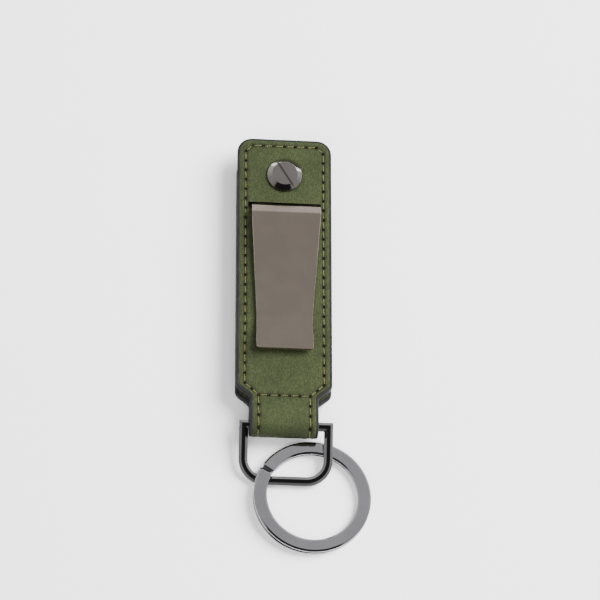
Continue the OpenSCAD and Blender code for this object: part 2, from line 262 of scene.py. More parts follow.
def shade(piece: bpy.types.Object, smooth_below: float = SMOOTH_BELOW) -> None:
    """Shades a piece smooth except at edges that turn by more than an angle in degrees."""
    piece.data.shade_smooth()
    piece.data.set_sharp_from_angle(angle=math.radians(smooth_below))


def bake(piece: bpy.types.Object) -> bpy.types.Object:
    """Turns a piece's modifiers into a plain mesh.

    Args:
        piece: The piece.

    Returns:
        The same piece.
    """
    graph = bpy.context.evaluated_depsgraph_get()
    mesh = bpy.data.meshes.new_from_object(
        piece.evaluated_get(graph), preserve_all_data_layers=True, depsgraph=graph
    )
    old, name = piece.data, piece.name
    piece.modifiers.clear()
    piece.data = mesh
    bpy.data.meshes.remove(old)
    mesh.name = name
    return piece


def cut(piece: bpy.types.Object, tools: Sequence[Solid]) -> bpy.types.Object:
    """Cuts closed shapes out of a piece.

    Args:
        piece: The piece, whose mesh is closed.
        tools: The shapes that are taken away.

    Returns:
        The piece with its new mesh.
    """
    cutters = []
    for number, shape in enumerate(tools):
        cutter = make_piece(f"cutter_{number}", shape, piece.data.materials[0])
        made = piece.modifiers.new(cutter.name, "BOOLEAN")
        made.operation = "DIFFERENCE"
        made.solver = "EXACT"
        made.object = cutter
        cutters.append(cutter)
    bake(piece)
    for cutter in cutters:
        mesh = cutter.data
        bpy.data.objects.remove(cutter)
        bpy.data.meshes.remove(mesh)
    shade(piece)
    return piece


def prism(outline: Array, origin: Array, along: Array, up: Array, length: float) -> Solid:
    """Straight bar with a given section.

    Args:
        outline: Section points, across and up.
        origin: Middle of the bar.
        along: Unit vector of the bar's length.
        up: Unit vector of the section's second axis.
        length: The bar's length.

    Returns:
        The points and the faces.
    """
    across = np.cross(up, along)
    section = origin + outline[:, :1] * across + outline[:, 1:] * up
    half = along * length / 2
    return loft(np.stack([section - half, section + half]))


def turned(profile: Array, centre: Triple, sides: int, looped: bool = False) -> Solid:
    """Turns a profile of radius and height about a vertical axis.

    Args:
        profile: Points from the top's middle to the bottom's middle, radius first.
        centre: Where the axis stands, and the profile's zero height.
        sides: Facets round the axis.
        looped: Whether the profile closes on itself, instead of having a cap at each end.

    Returns:
        The points and the faces.
    """
    angles = np.linspace(0, 2 * math.pi, sides, endpoint=False)
    rings = np.stack(
        [np.stack([r * np.cos(angles), r * np.sin(angles), np.full(sides, z)], -1) for r, z in profile]
    )
    return loft(rings + np.array(centre), looped)


def drill(radius: float) -> Solid:
    """A round tool on the screw's axis, longer than the part is thick."""
    return turned(np.array([(radius, DRILL_TOP), (radius, DRILL_LOW)]), (0.0, 0.0, 0.0), DRILL_SIDES)


def dress(
    piece: bpy.types.Object, body: Body | None, slot: Slot, replaced: Sequence[str] = ()
) -> bpy.types.Object:
    """Ties a finished piece to the frame and reports it.

    Args:
        piece: The piece.
        body: The body it rides on, or None, which leaves it on no body.
        slot: The record's slot that it stands for, which is only reported.
        replaced: The solids that it stands for.

    Returns:
        The piece.
    """
    if body is not None:
        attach(piece, body.value)
    if replaced:
        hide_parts(*replaced)
    log.info("%s: %d faces, slot %s", piece.name, len(piece.data.polygons), slot.value)
    return piece


# ---------------------------------------------------------------- finishes


class NodeWork:
    """Adds and links nodes in one tree."""

    def __init__(self, tree: bpy.types.NodeTree) -> None:
        """Keeps the tree."""
        self.tree = tree

    def feed(self, node: bpy.types.Node, inputs: dict) -> None:
        """Links or sets a node's inputs, given by name or number.

        Args:
            node: The node.
            inputs: A value or a socket for each input.
        """
        for key, value in inputs.items():
            if isinstance(value, Socket):
                self.tree.links.new(value, node.inputs[key])
            else:
                node.inputs[key].default_value = value

    def node(self, kind: str, inputs: dict | None = None, **settings: object) -> bpy.types.Node:
        """Adds a node.

        Args:
            kind: The node's type.
            inputs: Values or sockets for its inputs, by name or number.
            settings: Its properties.

        Returns:
            The node.
        """
        made = self.tree.nodes.new(kind)
        for key, value in settings.items():
            setattr(made, key, value)
        self.feed(made, inputs or {})
        return made

    def math(self, operation: str, first: Socket | float, second: Socket | float = 0.0) -> Socket:
        """One step of arithmetic."""
        return self.node("ShaderNodeMath", {0: first, 1: second}, operation=operation).outputs[0]


class Shader(NodeWork):
    """The nodes of one material round a principled shader."""

    def __init__(self, name: str) -> None:
        """Starts an empty material with a principled shader.

        Args:
            name: The material's name.
        """
        self.material = bpy.data.materials.new(name)
        self.material.use_nodes = True
        super().__init__(self.material.node_tree)
        self.tree.nodes.clear()
        self.surface = self.node("ShaderNodeBsdfPrincipled")
        self.node("ShaderNodeOutputMaterial", {"Surface": self.surface.outputs["BSDF"]})
        self.place = self.node("ShaderNodeTexCoord").outputs["Object"]

    def stretched(self, scale: Triple) -> Socket:
        """Object coordinates scaled, for a pattern with a direction."""
        return self.node("ShaderNodeMapping", {"Vector": self.place, "Scale": scale}).outputs[0]

    def noise(self, place: Socket, scale: float, detail: float = 4.0, rough: float = 0.55) -> Socket:
        """Noise from 0 to 1 at a scale in cells a metre."""
        inputs = {"Vector": place, "Scale": scale, "Detail": detail, "Roughness": rough}
        return self.node("ShaderNodeTexNoise", inputs).outputs["Fac"]

    def remap(self, value: Socket, low: float, high: float, to_low: float, to_high: float) -> Socket:
        """Maps a value's span onto another, smoothly at both ends."""
        inputs = {"Value": value, "From Min": low, "From Max": high, "To Min": to_low, "To Max": to_high}
        return self.node("ShaderNodeMapRange", inputs, interpolation_type="SMOOTHSTEP").outputs["Result"]

    def mix(self, share: Socket, first: Triple | Socket, second: Triple | Socket) -> Socket:
        """Colour between two colours.

        Args:
            share: The second colour's share.
            first: The colour at 0.
            second: The colour at 1.

        Returns:
            The mixed colour.
        """
        sides = {6: first, 7: second}
        colours = {key: (*value, 1.0) if isinstance(value, tuple) else value for key, value in sides.items()}
        return self.node("ShaderNodeMix", {0: share, **colours}, data_type="RGBA").outputs[2]

    def attribute(self, name: str) -> Socket:
        """A number kept on the piece's own mesh."""
        return self.node("ShaderNodeAttribute", attribute_name=name).outputs["Fac"]

    def bump(self, height: Socket, depth: float, strength: float, under: Socket | None = None) -> Socket:
        """Normals from a height of 0 to 1 over a depth in millimetres.

        Args:
            height: The height.
            depth: What a height of 1 stands for.
            strength: The bump's share.
            under: Normals that the bump is laid on.

        Returns:
            The bumped normals.
        """
        inputs = {"Height": height, "Distance": depth * MM, "Strength": strength}
        if under is not None:
            inputs["Normal"] = under
        return self.node("ShaderNodeBump", inputs).outputs["Normal"]

    def finish(
        self, tone: Socket, rough: Socket | float, normal: Socket | None = None,
        specular: float = 0.5, metallic: float = 0.0,
    ) -> bpy.types.Material:
        """Feeds the principled shader.

        Args:
            tone: The base colour.
            rough: The roughness.
            normal: The bumped normal, or None for a plain one.
            specular: How much the surface mirrors where it isn't metal.
            metallic: 1 for metal.

        Returns:
            The finished material.
        """
        self.feed(self.surface, {"Base Color": tone, "Roughness": rough})
        self.feed(self.surface, {"Specular IOR Level": specular, "Metallic": metallic})
        if normal is not None:
            self.feed(self.surface, {"Normal": normal})
        return self.material


@dataclass(frozen=True)
class LeatherFinish:
    """Short-grained olive leather: fine pebble and soft colour drift, with painted shade in the pebble's
    hollows, along the sunk seams, round the needle holes and round the screw head.
    """

    name: str
    base: Triple
    shadow: Triple
    light: Triple
    pebble: float = 2300.0
    grain_depth: float = 0.11
    roughness: Pair = (0.5, 0.68)
    specular: float = 0.17

    def build(self) -> bpy.types.Material:
        """Builds the material.

        Returns:
            The material.
        """
        s = Shader(self.name)
        along = s.stretched((1.5, 0.75, 1.0))
        cells = s.node(
            "ShaderNodeTexVoronoi",
            {"Vector": along, "Scale": self.pebble, "Smoothness": 0.55, "Randomness": 1.0},
            feature="SMOOTH_F1",
        ).outputs["Distance"]
        pebble = s.remap(cells, 0.12, 0.75, 1.0, 0.0)
        fibre = s.noise(s.stretched((1.0, 0.6, 1.0)), 2600.0, 4.0, 0.65)
        pores = s.noise(s.place, 5200.0, 2.0)
        drift = s.noise(s.place, 95.0, 3.0)
        mottle = s.noise(s.place, 620.0, 3.0)
        pressed = s.attribute("pressed")
        height = s.math("ADD", s.math("MULTIPLY", pebble, 0.6), s.math("MULTIPLY", fibre, 0.4))
        tone = s.mix(s.remap(drift, 0.32, 0.7, 0.0, 1.0), self.base, self.light)
        tone = s.mix(s.remap(mottle, 0.35, 0.75, 0.0, 0.18), tone, self.shadow)
        # Painted shade: the pebble's hollows are darkened towards the shadow tone.
        tone = s.mix(s.remap(height, 0.3, 0.6, 0.36, 0.0), tone, self.shadow)
        # Painted shade: darker along the seam grooves, round each needle hole and round the screw head's rim.
        tone = s.mix(s.math("MULTIPLY", pressed, 0.55), tone, self.shadow)
        normal = s.bump(pores, self.grain_depth * 0.3, 0.5)
        normal = s.bump(height, self.grain_depth, 0.85, normal)
        rough = s.remap(height, 0.2, 0.7, self.roughness[1], self.roughness[0])
        return s.finish(tone, rough, normal, self.specular)


@dataclass(frozen=True)
class PaintFinish:
    """Edge paint: dark, satin, laid on by hand in a slightly uneven bead."""

    name: str
    colour: Triple
    thin: Triple
    roughness: Pair = (0.42, 0.52)
    specular: float = 0.06

    def build(self) -> bpy.types.Material:
        """Builds the material.

        Returns:
            The material.
        """
        s = Shader(self.name)
        waves = s.noise(s.place, 260.0, 3.0)
        dust = s.noise(s.place, 3800.0, 3.0)
        tone = s.mix(s.remap(waves, 0.35, 0.7, 0.0, 1.0), self.colour, self.thin)
        rough = s.remap(dust, 0.3, 0.75, *self.roughness)
        normal = s.bump(dust, 0.006, 0.4, s.bump(waves, 0.05, 0.5))
        return s.finish(tone, rough, normal, self.specular)


@dataclass(frozen=True)
class MetalFinish:
    """Plated metal: a polished or finely brushed surface with faint wear."""

    name: str
    colour: Triple
    worn: Triple
    roughness: Pair
    brush: Triple = (1.0, 1.0, 1.0)
    brush_scale: float = 2600.0
    brush_depth: float = 0.002

    def build(self) -> bpy.types.Material:
        """Builds the material.

        Returns:
            The material.
        """
        s = Shader(self.name)
        lines = s.noise(s.stretched(self.brush), self.brush_scale, 5.0, 0.6)
        cloud = s.noise(s.place, 140.0, 3.0)
        specks = s.noise(s.place, 2400.0, 2.0)
        tone = s.mix(s.remap(cloud, 0.35, 0.7, 0.0, 1.0), self.colour, self.worn)
        tone = s.mix(s.remap(lines, 0.3, 0.75, 0.0, 0.35), tone, self.worn)
        blur = s.math("ADD", s.math("MULTIPLY", lines, 0.6), s.math("MULTIPLY", specks, 0.4))
        rough = s.remap(blur, 0.35, 0.65, *self.roughness)
        return s.finish(tone, rough, s.bump(lines, self.brush_depth, 0.5), metallic=1.0)


@dataclass(frozen=True)
class ThreadFinish:
    """Waxed thread: twisted plies along its own length and fine fibres, with painted shade between the plies
    and a painted highlight on their crowns.
    """

    name: str
    crown_highlight: Triple
    valley_shade: Triple
    plies: float = 2.0
    twist: float = 0.9
    specular: float = 0.2

    def build(self) -> bpy.types.Material:
        """Builds the material.

        Returns:
            The material.
        """
        s = Shader(self.name)
        wind = s.math("ADD", s.math("MULTIPLY", s.attribute("along"), self.twist / MM), s.attribute("around"))
        phase = s.math("MULTIPLY", wind, self.plies * 2 * math.pi)
        strands = s.remap(s.math("SINE", phase), -1.0, 1.0, 0.0, 1.0)
        fibre = s.noise(s.place, 9000.0, 3.0)
        height = s.math("ADD", s.math("MULTIPLY", strands, 0.8), s.math("MULTIPLY", fibre, 0.2))
        # Painted light: the tone runs from painted shade in the valleys between the plies to a painted
        # highlight on their crowns.
        tone = s.mix(s.remap(height, 0.15, 0.8, 0.0, 1.0), self.valley_shade, self.crown_highlight)
        rough = s.remap(fibre, 0.3, 0.7, 0.42, 0.62)
        return s.finish(tone, rough, s.bump(height, 0.06, 0.9), self.specular)


@dataclass(frozen=True)
class BoardFinish:
    """Pressed fibre board: pale, matt and mottled."""

    name: str
    pale: Triple
    dark: Triple

    def build(self) -> bpy.types.Material:
        """Builds the material.

        Returns:
            The material.
        """
        s = Shader(self.name)
        fibre = s.noise(s.stretched((1.0, 0.3, 1.0)), 2400.0, 5.0)
        flecks = s.noise(s.place, 500.0, 2.0)
        tone = s.mix(s.remap(fibre, 0.35, 0.65, 0.0, 1.0), self.dark, self.pale)
        tone = s.mix(s.remap(flecks, 0.5, 0.8, 0.0, 0.5), tone, self.dark)
        rough = s.remap(fibre, 0.3, 0.7, 0.75, 0.95)
        return s.finish(tone, rough, s.bump(fibre, 0.03, 0.6))


@dataclass(frozen=True)
class HoleShadeFinish:
    """Inside of a needle hole: near-black painted shade, flecked with torn leather."""

    name: str
    colour: Triple
    fray: Triple
    specular: float = 0.1

    def build(self) -> bpy.types.Material:
        """Builds the material.

        Returns:
            The material.
        """
        s = Shader(self.name)
        torn = s.noise(s.place, 4200.0, 3.0)
        tone = s.mix(s.remap(torn, 0.5, 0.8, 0.0, 1.0), self.colour, self.fray)
        rough = s.remap(torn, 0.3, 0.7, 0.8, 1.0)
        return s.finish(tone, rough, s.bump(torn, 0.03, 0.8), self.specular)


# Painted sheen: the leather's tones are lifted by a grey that stands in for the key lamp's sheen, which
# glossy rays don't see.
LEATHER = LeatherFinish(
    "olive_leather", (0.0285, 0.0355, 0.0163), (0.0095, 0.0115, 0.005), (0.036, 0.0445, 0.0195)
)
LINING = LeatherFinish(
    "olive_lining", (0.03, 0.036, 0.017), (0.015, 0.018, 0.008), (0.036, 0.042, 0.021),
    pebble=1500.0, grain_depth=0.02, roughness=(0.7, 0.85),
)
# Painted sheen: the edge paint's tones are lifted to stand in for the key lamp's sheen, which glossy rays
# don't see.
EDGE_PAINT = PaintFinish("black_edge_paint", (0.014, 0.014, 0.0145), (0.021, 0.021, 0.0215))
THREAD = ThreadFinish("khaki_thread", (0.17, 0.155, 0.075), (0.024, 0.022, 0.01))
BOARD = BoardFinish("fibre_board", (0.2, 0.16, 0.11), (0.1, 0.08, 0.05))
# Painted shade: the needle holes' cups are near-black where the holes are only in shade.
NEEDLE_HOLE_SHADE = HoleShadeFinish("needle_hole_dark", (0.004, 0.004, 0.003), (0.02, 0.022, 0.012))
CLIP_METAL = MetalFinish(
    "satin_gunmetal", (0.415, 0.352, 0.298), (0.445, 0.377, 0.318), (0.17, 0.22),
    brush=(1.0, 0.02, 1.0), brush_scale=1600.0, brush_depth=0.0006,
)
SCREW_METAL = MetalFinish("polished_gunmetal", (0.36, 0.335, 0.315), (0.4, 0.372, 0.35), (0.05, 0.1))
DEE_METAL = MetalFinish("black_nickel", (0.36, 0.355, 0.36), (0.4, 0.395, 0.4), (0.05, 0.1))
RING_METAL = MetalFinish("bright_nickel", (0.59, 0.585, 0.625), (0.65, 0.645, 0.67), (0.07, 0.13))


# ---------------------------------------------------------------- the folded strap


@dataclass(frozen=True)
class Strip:
    """The strap's folded strip, with its own coordinates.

    u runs along the strip: it is minus the distance from the ring bar on the front leg, it crosses the
    loop from 0 to the loop's length, and goes on over the back leg. x is across, and d is the depth
    out from the strip's inner face.
    """

    bar_y: float = -72.4
    mid_z: float = 4.55
    panel_w: float = 25.0
    neck_w: float = 17.6
    front_reach: float = 83.2
    back_reach: float = 78.2
    back_shift: float = 1.3
    corner_r: float = 3.8
    shoulder_low: float = 6.7
    shoulder_rise: float = 4.3
    leather_t: float = 1.2
    lining_t: float = 0.65
    panel_gap: float = 1.0
    blend_l: float = 7.0
    loop_in_r: float = 1.337
    outline_step: float = 0.6
    corner_steps: int = 14
    end_steps: int = 18
    loop_steps: int = 22

    @property
    def strap_t(self) -> float:
        """Thickness of leather and lining."""
        return self.leather_t + self.lining_t

    @property
    def loop_l(self) -> float:
        """Length of the strip round the bar."""
        return math.pi * (self.loop_in_r + self.strap_t / 2)

    def place(self, u: Array, x: Array, d: Array) -> Array:
        """Points of the folded strip in the part's frame.

        Args:
            u: Place along the strip.
            x: Place across it.
            d: Depth out from the inner face.

        Returns:
            The points.
        """
        u, x, d = np.broadcast_arrays(np.asarray(u, float), np.asarray(x, float), np.asarray(d, float))
        side = np.where(u <= self.loop_l / 2, 1.0, -1.0)
        leg = np.where(side > 0, -u, u - self.loop_l)
        opened = np.clip(leg / self.blend_l, 0, 1)
        gap = self.panel_gap / 2 + (self.loop_in_r - self.panel_gap / 2) * (1 + np.cos(math.pi * opened)) / 2
        angle = math.pi / 2 + math.pi * np.clip(u / self.loop_l, 0, 1)
        radius = self.loop_in_r + d
        bent = leg < 0
        y = np.where(bent, radius * np.cos(angle), leg)
        z = np.where(bent, radius * np.sin(angle), side * (gap + d))
        return np.stack([x, y + self.bar_y, z + self.mid_z], -1)

    def normal(self, u: Array, x: Array) -> Array:
        """Unit vectors out of the strip's outer face."""
        step = self.place(u, x, 1.0) - self.place(u, x, 0.0)
        return step / np.linalg.norm(step, axis=-1, keepdims=True)

    def half_width(self, u: Array, inset: float) -> Array:
        """Half the strip's width at u, drawn in by an inset.

        Args:
            u: Place along the strip.
            inset: How far the outline is drawn in.

        Returns:
            Half the width at each place.
        """
        front = u <= self.loop_l / 2
        leg = np.maximum(np.where(front, -u, u - self.loop_l), 0)
        reach = np.where(front, self.front_reach, self.back_reach) - inset
        low = np.where(front, self.shoulder_low, self.shoulder_low - self.back_shift) + inset
        half_panel, half_neck = self.panel_w / 2 - inset, self.neck_w / 2 - inset
        radius = self.corner_r - inset
        width = half_neck + (half_panel - half_neck) * ease((leg - low) / self.shoulder_rise)
        over = np.clip(leg - (reach - radius), 0, radius)
        return width - radius + np.sqrt(radius**2 - over**2)

    def rows(self, inset: float, step: float) -> Array:
        """Stations along the strip, close together at the corners and round the loop.

        Args:
            inset: How far the outline is drawn in.
            step: Distance of the stations on the legs.

        Returns:
            Values of u.
        """
        turn = np.sin(np.linspace(0, math.pi / 2, self.corner_steps))
        radius = self.corner_r - inset
        legs = []
        for reach in (self.front_reach, self.back_reach):
            corner = reach - inset - radius
            straight = np.linspace(0, corner, max(2, round(corner / step)), endpoint=False)
            legs.append(np.concatenate([straight, corner + radius * turn]))
        loop = np.linspace(0, self.loop_l, self.loop_steps)[1:-1]
        return np.concatenate([-legs[0][::-1], loop, legs[1] + self.loop_l])

    def outline(self) -> Array:
        """The strip's closed outline as rows of x, u and the outward direction in x and u.

        Returns:
            One row for each point of the outline.
        """
        rows = self.rows(0.0, self.outline_step)
        right = np.stack([self.half_width(rows, 0.0), rows], -1)
        left = (right * [-1, 1])[::-1]
        ends = []
        for start, end in ((right[-1], left[0]), (left[-1], right[0])):
            share = np.linspace(0, 1, self.end_steps)[1:-1, None]
            ends.append(start + (end - start) * share)
        ring = np.concatenate([right, ends[0], left, ends[1]])
        along = np.roll(ring, -1, 0) - np.roll(ring, 1, 0)
        out = np.stack([along[:, 1], -along[:, 0]], -1)
        return np.concatenate([ring, out / np.linalg.norm(out, axis=1, keepdims=True)], 1)


@dataclass(frozen=True)
class Stitch:
    """One stitch between two needle holes, given by x and u on the strip."""

    start: Pair
    end: Pair
    face: Face = Face.OUTER


@dataclass(frozen=True)
class SeamPlan:
    """Where the seams run and how they are sewn."""

    strip: Strip
    inset: float = 2.0
    pitch: float = 2.8
    neck_pitch: float = 3.0
    cross_rise: float = 1.0

    def run(self, start: Pair, end: Pair, pitch: float, face: Face) -> list[Stitch]:
        """Whole stitches along a straight run.

        Args:
            start: The first hole, by x and u.
            end: The last one.
            pitch: The stitches' length.
            face: The side that they lie on.

        Returns:
            The stitches.
        """
        first, last = np.array(start), np.array(end)
        count = max(1, round(float(np.linalg.norm(last - first)) / pitch))
        marks = [tuple(first + (last - first) * i / count) for i in range(count + 1)]
        return [Stitch(a, b, face) for a, b in zip(marks, marks[1:])]

    def panel(self, back: bool) -> list[Stitch]:
        """The seam round one panel, with its diagonal stitches at the corners.

        Args:
            back: Whether it is the back panel.

        Returns:
            The stitches.
        """
        strip = self.strip
        low = strip.shoulder_low - (strip.back_shift if back else 0.0)
        reach = strip.back_reach if back else strip.front_reach
        side = strip.panel_w / 2 - self.inset
        top, cut_off = reach - self.inset, strip.corner_r - self.inset
        bend, neck = low + strip.shoulder_rise, strip.neck_w / 2 - self.inset
        path = [
            (-neck, low + self.cross_rise), (-side, bend), (-side, top - cut_off), (cut_off - side, top),
            (side - cut_off, top), (side, top - cut_off), (side, bend), (neck, low + self.cross_rise),
        ]
        marks = [(x, strip.loop_l + y if back else -y) for x, y in path]
        return [s for a, b in zip(marks, marks[1:]) for s in self.run(a, b, self.pitch, Face.OUTER)]

    def neck(self) -> list[Stitch]:
        """The row across the front of the neck and the two columns round the loop.

        Returns:
            The stitches.
        """
        strip = self.strip
        neck = strip.neck_w / 2 - self.inset
        front = -(strip.shoulder_low + self.cross_rise)
        back = strip.loop_l + strip.shoulder_low - strip.back_shift + self.cross_rise
        rows = self.run((-neck, front), (neck, front), self.pitch, Face.OUTER)
        rows += self.run((-neck, back), (neck, back), self.pitch, Face.OUTER)
        for side in (-neck, neck):
            rows += self.run((side, front), (side, back), self.neck_pitch, Face.OUTER)
        return rows

    def overhang(self) -> list[Stitch]:
        """The under side of the front seam, where the front panel stands past the back one.

        Returns:
            The stitches.
        """
        limit = -(self.strip.back_reach - self.pitch)
        return [
            Stitch(s.start, s.end, Face.INNER)
            for s in self.panel(False)
            if s.start[1] < limit and s.end[1] < limit
        ]

    def stitches(self) -> list[Stitch]:
        """Every stitch that can be seen."""
        return self.panel(False) + self.panel(True) + self.neck() + self.overhang()


@dataclass(frozen=True)
class Relief:
    """How the leather's face rises and sinks, in millimetres."""

    strip: Strip
    seams: SeamPlan
    groove: float = 0.08
    groove_w: float = 0.42
    roll: float = 0.12
    roll_w: float = 0.9
    welt: float = 0.05
    welt_at: float = 1.0
    welt_w: float = 0.5
    dimple: float = 0.16
    dimple_w: float = 0.5
    dent: float = 0.18
    dent_w: float = 0.38
    head_r: float = 4.7
    lift: float = 0.16
    lift_at: Pair = (10.0, 60.5)
    lift_w: float = 1.5
    wave: float = 0.015
    hole_shade_w: float = 0.7

    def distances(self, x: Array, u: Array) -> tuple[Array, Array]:
        """Distance of each point to the nearest stitch and to the nearest needle hole.

        Args:
            x: Places across the strip.
            u: Places along it.

        Returns:
            Both distances.
        """
        spots = np.stack([x, u], -1)
        to_line = np.full(x.shape, 1e3)
        to_hole = np.full(x.shape, 1e3)
        for stitch in self.seams.stitches():
            if stitch.face is Face.INNER:
                continue
            start, end = np.array(stitch.start), np.array(stitch.end)
            run = end - start
            share = np.clip(((spots - start) @ run) / (run @ run), 0, 1)[..., None]
            to_line = np.minimum(to_line, np.linalg.norm(spots - start - share * run, axis=-1))
            for hole in (start, end):
                to_hole = np.minimum(to_hole, np.linalg.norm(spots - hole, axis=-1))
        return to_line, to_hole

    def height(self, x: Array, u: Array) -> tuple[Array, Array]:
        """Height of the face over its plain level, and how hard the seams and the screw head press it, which
        the leather's colour turns into painted shade.

        Args:
            x: Places across the strip.
            u: Places along it.

        Returns:
            The height, and the pressing from 0 to 1, used as a mask of painted shade.
        """
        line, hole = self.distances(x, u)
        pressed = bell(line, self.groove_w)
        rise = -self.groove * pressed + self.welt * bell(line - self.welt_at, self.welt_w)
        rise -= self.dimple * bell(hole, self.dimple_w)
        side = self.strip.half_width(u, 0.0) - np.abs(x)
        front = u <= self.strip.loop_l / 2
        end = np.where(front, u + self.strip.front_reach, self.strip.loop_l + self.strip.back_reach - u)
        rise -= self.roll * bell(np.minimum(side, end), self.roll_w)
        screw = np.hypot(x, np.where(u < 0, -u, u - self.strip.loop_l) + self.strip.bar_y)
        contact = bell(screw - self.head_r, self.dent_w)
        rise -= self.dent * contact
        for side in (-1, 1):
            away = np.hypot(x - side * self.lift_at[0], u + self.lift_at[1])
            rise += self.lift * bell(away, self.lift_w)
        waves = np.sin(x * 0.9 + 1.3 * np.sin(u * 0.21)) * np.sin(u * 0.33 + 0.7)
        # The second value is a mask of painted shade: the seam grooves, a ring round each needle hole and a
        # ring round the screw head's rim.
        return rise + self.wave * waves, np.clip(pressed + contact + bell(hole, self.hole_shade_w), 0, 1)


@dataclass(frozen=True)
class Strap:
    """The leather strap with its lining, painted edges and seams."""

    strip: Strip = Strip()
    row_step: float = 0.4
    paint_w: float = 0.5
    paint_lap: float = 0.08
    paint_bulge: float = 0.28
    paint_rise: float = 0.03
    paint_drop: float = 0.09
    slit_a: float = 34.0
    slit_w: float = 19.6
    slit_t: float = 1.3
    slit_l: float = 8.0
    slit_bend: Pair = (-5.947, 4.55)
    post_hole_r: float = 2.5
    seams: SeamPlan = field(default_factory=lambda: SeamPlan(Strip()))
    edge_marks: tuple[float, ...] = (
        0.0, 0.2, 0.45, 0.75, 1.05, 1.25, 1.4, 1.53, 1.65, 1.77, 1.9, 2.05, 2.3, 2.7, 3.2, 3.8,
    )
    middle_columns: int = 26

    def grid(self, inset: float) -> tuple[Array, Array]:
        """x and u of a grid over the whole strip, fine beside the seams.

        Args:
            inset: How far the outline is drawn in.

        Returns:
            Both coordinates.
        """
        rows = self.strip.rows(inset, self.row_step)
        width = self.strip.half_width(rows, inset)[:, None]
        marks = np.array(self.edge_marks)
        inner = width - marks[-1]
        middle = inner * np.linspace(-1, 1, self.middle_columns + 1)[None, 1:-1]
        x = np.concatenate([marks - width, middle, (width - marks)[:, ::-1]], 1)
        return x, np.broadcast_to(rows[:, None], x.shape)

    def tools(self) -> list[Solid]:
        """The slit and the post's hole, as shapes to cut away.

        Returns:
            The shapes.
        """
        slope = math.radians(self.slit_a)
        along = np.array([0.0, -math.cos(slope), math.sin(slope)])
        across = np.array([1.0, 0.0, 0.0])
        bend = np.array([0.0, *self.slit_bend])
        half_t, length = self.slit_t / 2, self.slit_l
        outline = np.array([(-half_t, 0.0), (half_t, 0.0), (half_t, length), (-half_t, length)])
        slit = prism(outline, bend, across, along, self.slit_w)
        return [slit, drill(self.post_hole_r)]

    def leather(self) -> bpy.types.Object:
        """The outer leather, sunk along its seams, cut for the clip and the post, and marked for its painted
        shade.

        Returns:
            The piece.
        """
        x, u = self.grid(self.paint_w - self.paint_lap)
        rise, _ = Relief(self.strip, self.seams).height(x, u)
        outer = self.strip.place(u, x, self.strip.strap_t) + self.strip.normal(u, x) * rise[..., None]
        inner = self.strip.place(u, x, self.strip.lining_t)
        piece = make_piece("strap_leather_hide", layer(outer, inner), LEATHER.build())
        cut(piece, self.tools())
        self.mark_pressed_and_shade(piece)
        return dress(piece, Body.STRAP, Slot.LEATHER, ["strap_leather"])

    def mark_pressed_and_shade(self, piece: bpy.types.Object) -> None:
        """Keeps on the leather's mesh how hard the seams and the screw head press it, which its colour turns
        into painted shade.

        Args:
            piece: The leather.
        """
        spots = np.array([v.co for v in piece.data.vertices]) / MM
        leg = spots[:, 1] - self.strip.bar_y
        above = spots[:, 2] - self.strip.mid_z
        turn = np.clip(np.arctan2(-leg, above) / math.pi, 0, 1) * self.strip.loop_l
        u = np.where(leg > 0, np.where(above > 0, -leg, self.strip.loop_l + leg), turn)
        _, pressed = Relief(self.strip, self.seams).height(spots[:, 0], u)
        kept = piece.data.attributes.new("pressed", "FLOAT", "POINT")
        kept.data.foreach_set("value", pressed.astype(np.float32))

    def lining(self) -> bpy.types.Object:
        """The lining, cut as the leather is.

        Returns:
            The piece.
        """
        x, u = self.grid(self.paint_w - self.paint_lap)
        outer = self.strip.place(u, x, self.strip.lining_t - 0.01)
        inner = self.strip.place(u, x, 0.0)
        piece = make_piece("strap_lining_sheet", layer(outer, inner), LINING.build())
        cut(piece, self.tools())
        return dress(piece, Body.STRAP, Slot.LINING, ["strap_lining"])

    def edges(self) -> bpy.types.Object:
        """The painted bead that closes the cut edges all the way round.

        Returns:
            The piece.
        """
        wide, lap, out = self.paint_w, self.paint_rise, self.paint_bulge
        face = self.strip.strap_t - self.paint_drop
        section = np.array(
            [
                (-wide, -0.004), (-wide * 0.6, -lap), (-wide * 0.2, -lap * 0.6), (out - 0.16, 0.08),
                (out - 0.05, 0.24), (out, 0.5), (out, face - 0.5), (out - 0.05, face - 0.24),
                (out - 0.16, face - 0.08), (-wide * 0.2, face + lap * 0.6), (-wide * 0.6, face + lap),
                (-wide, face - 0.03),
            ]
        )
        ring = self.strip.outline()
        x = ring[:, :1] + ring[:, 2:3] * section[None, :, 0]
        u = ring[:, 1:2] + ring[:, 3:4] * section[None, :, 0]
        bead = self.strip.place(u, x, section[None, :, 1])
        shape = loft(bead, looped=True)
        piece = make_piece("painted_edge_bead", shape, EDGE_PAINT.build(), smooth_below=60.0)
        return dress(piece, Body.STRAP, Slot.EDGE, ["edge_paint"])

    def boards(self) -> None:
        """The stiffener boards inside the panels keep their solids and get their finish."""
        finish = BOARD.build()
        for name in ("front_board", "back_board"):
            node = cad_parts[name]
            node.data.materials.clear()
            node.data.materials.append(finish)

    def build(self) -> None:
        """Builds all of the strap."""
        self.leather()
        self.lining()
        self.edges()
        self.boards()
        ThreadWork(self.strip, self.seams).build()


# ---------------------------------------------------------------- seams by Geometry Nodes


SHARED_INPUTS = {"Unevenness": "Float", "Seed": "Int", "Finish": "Material"}


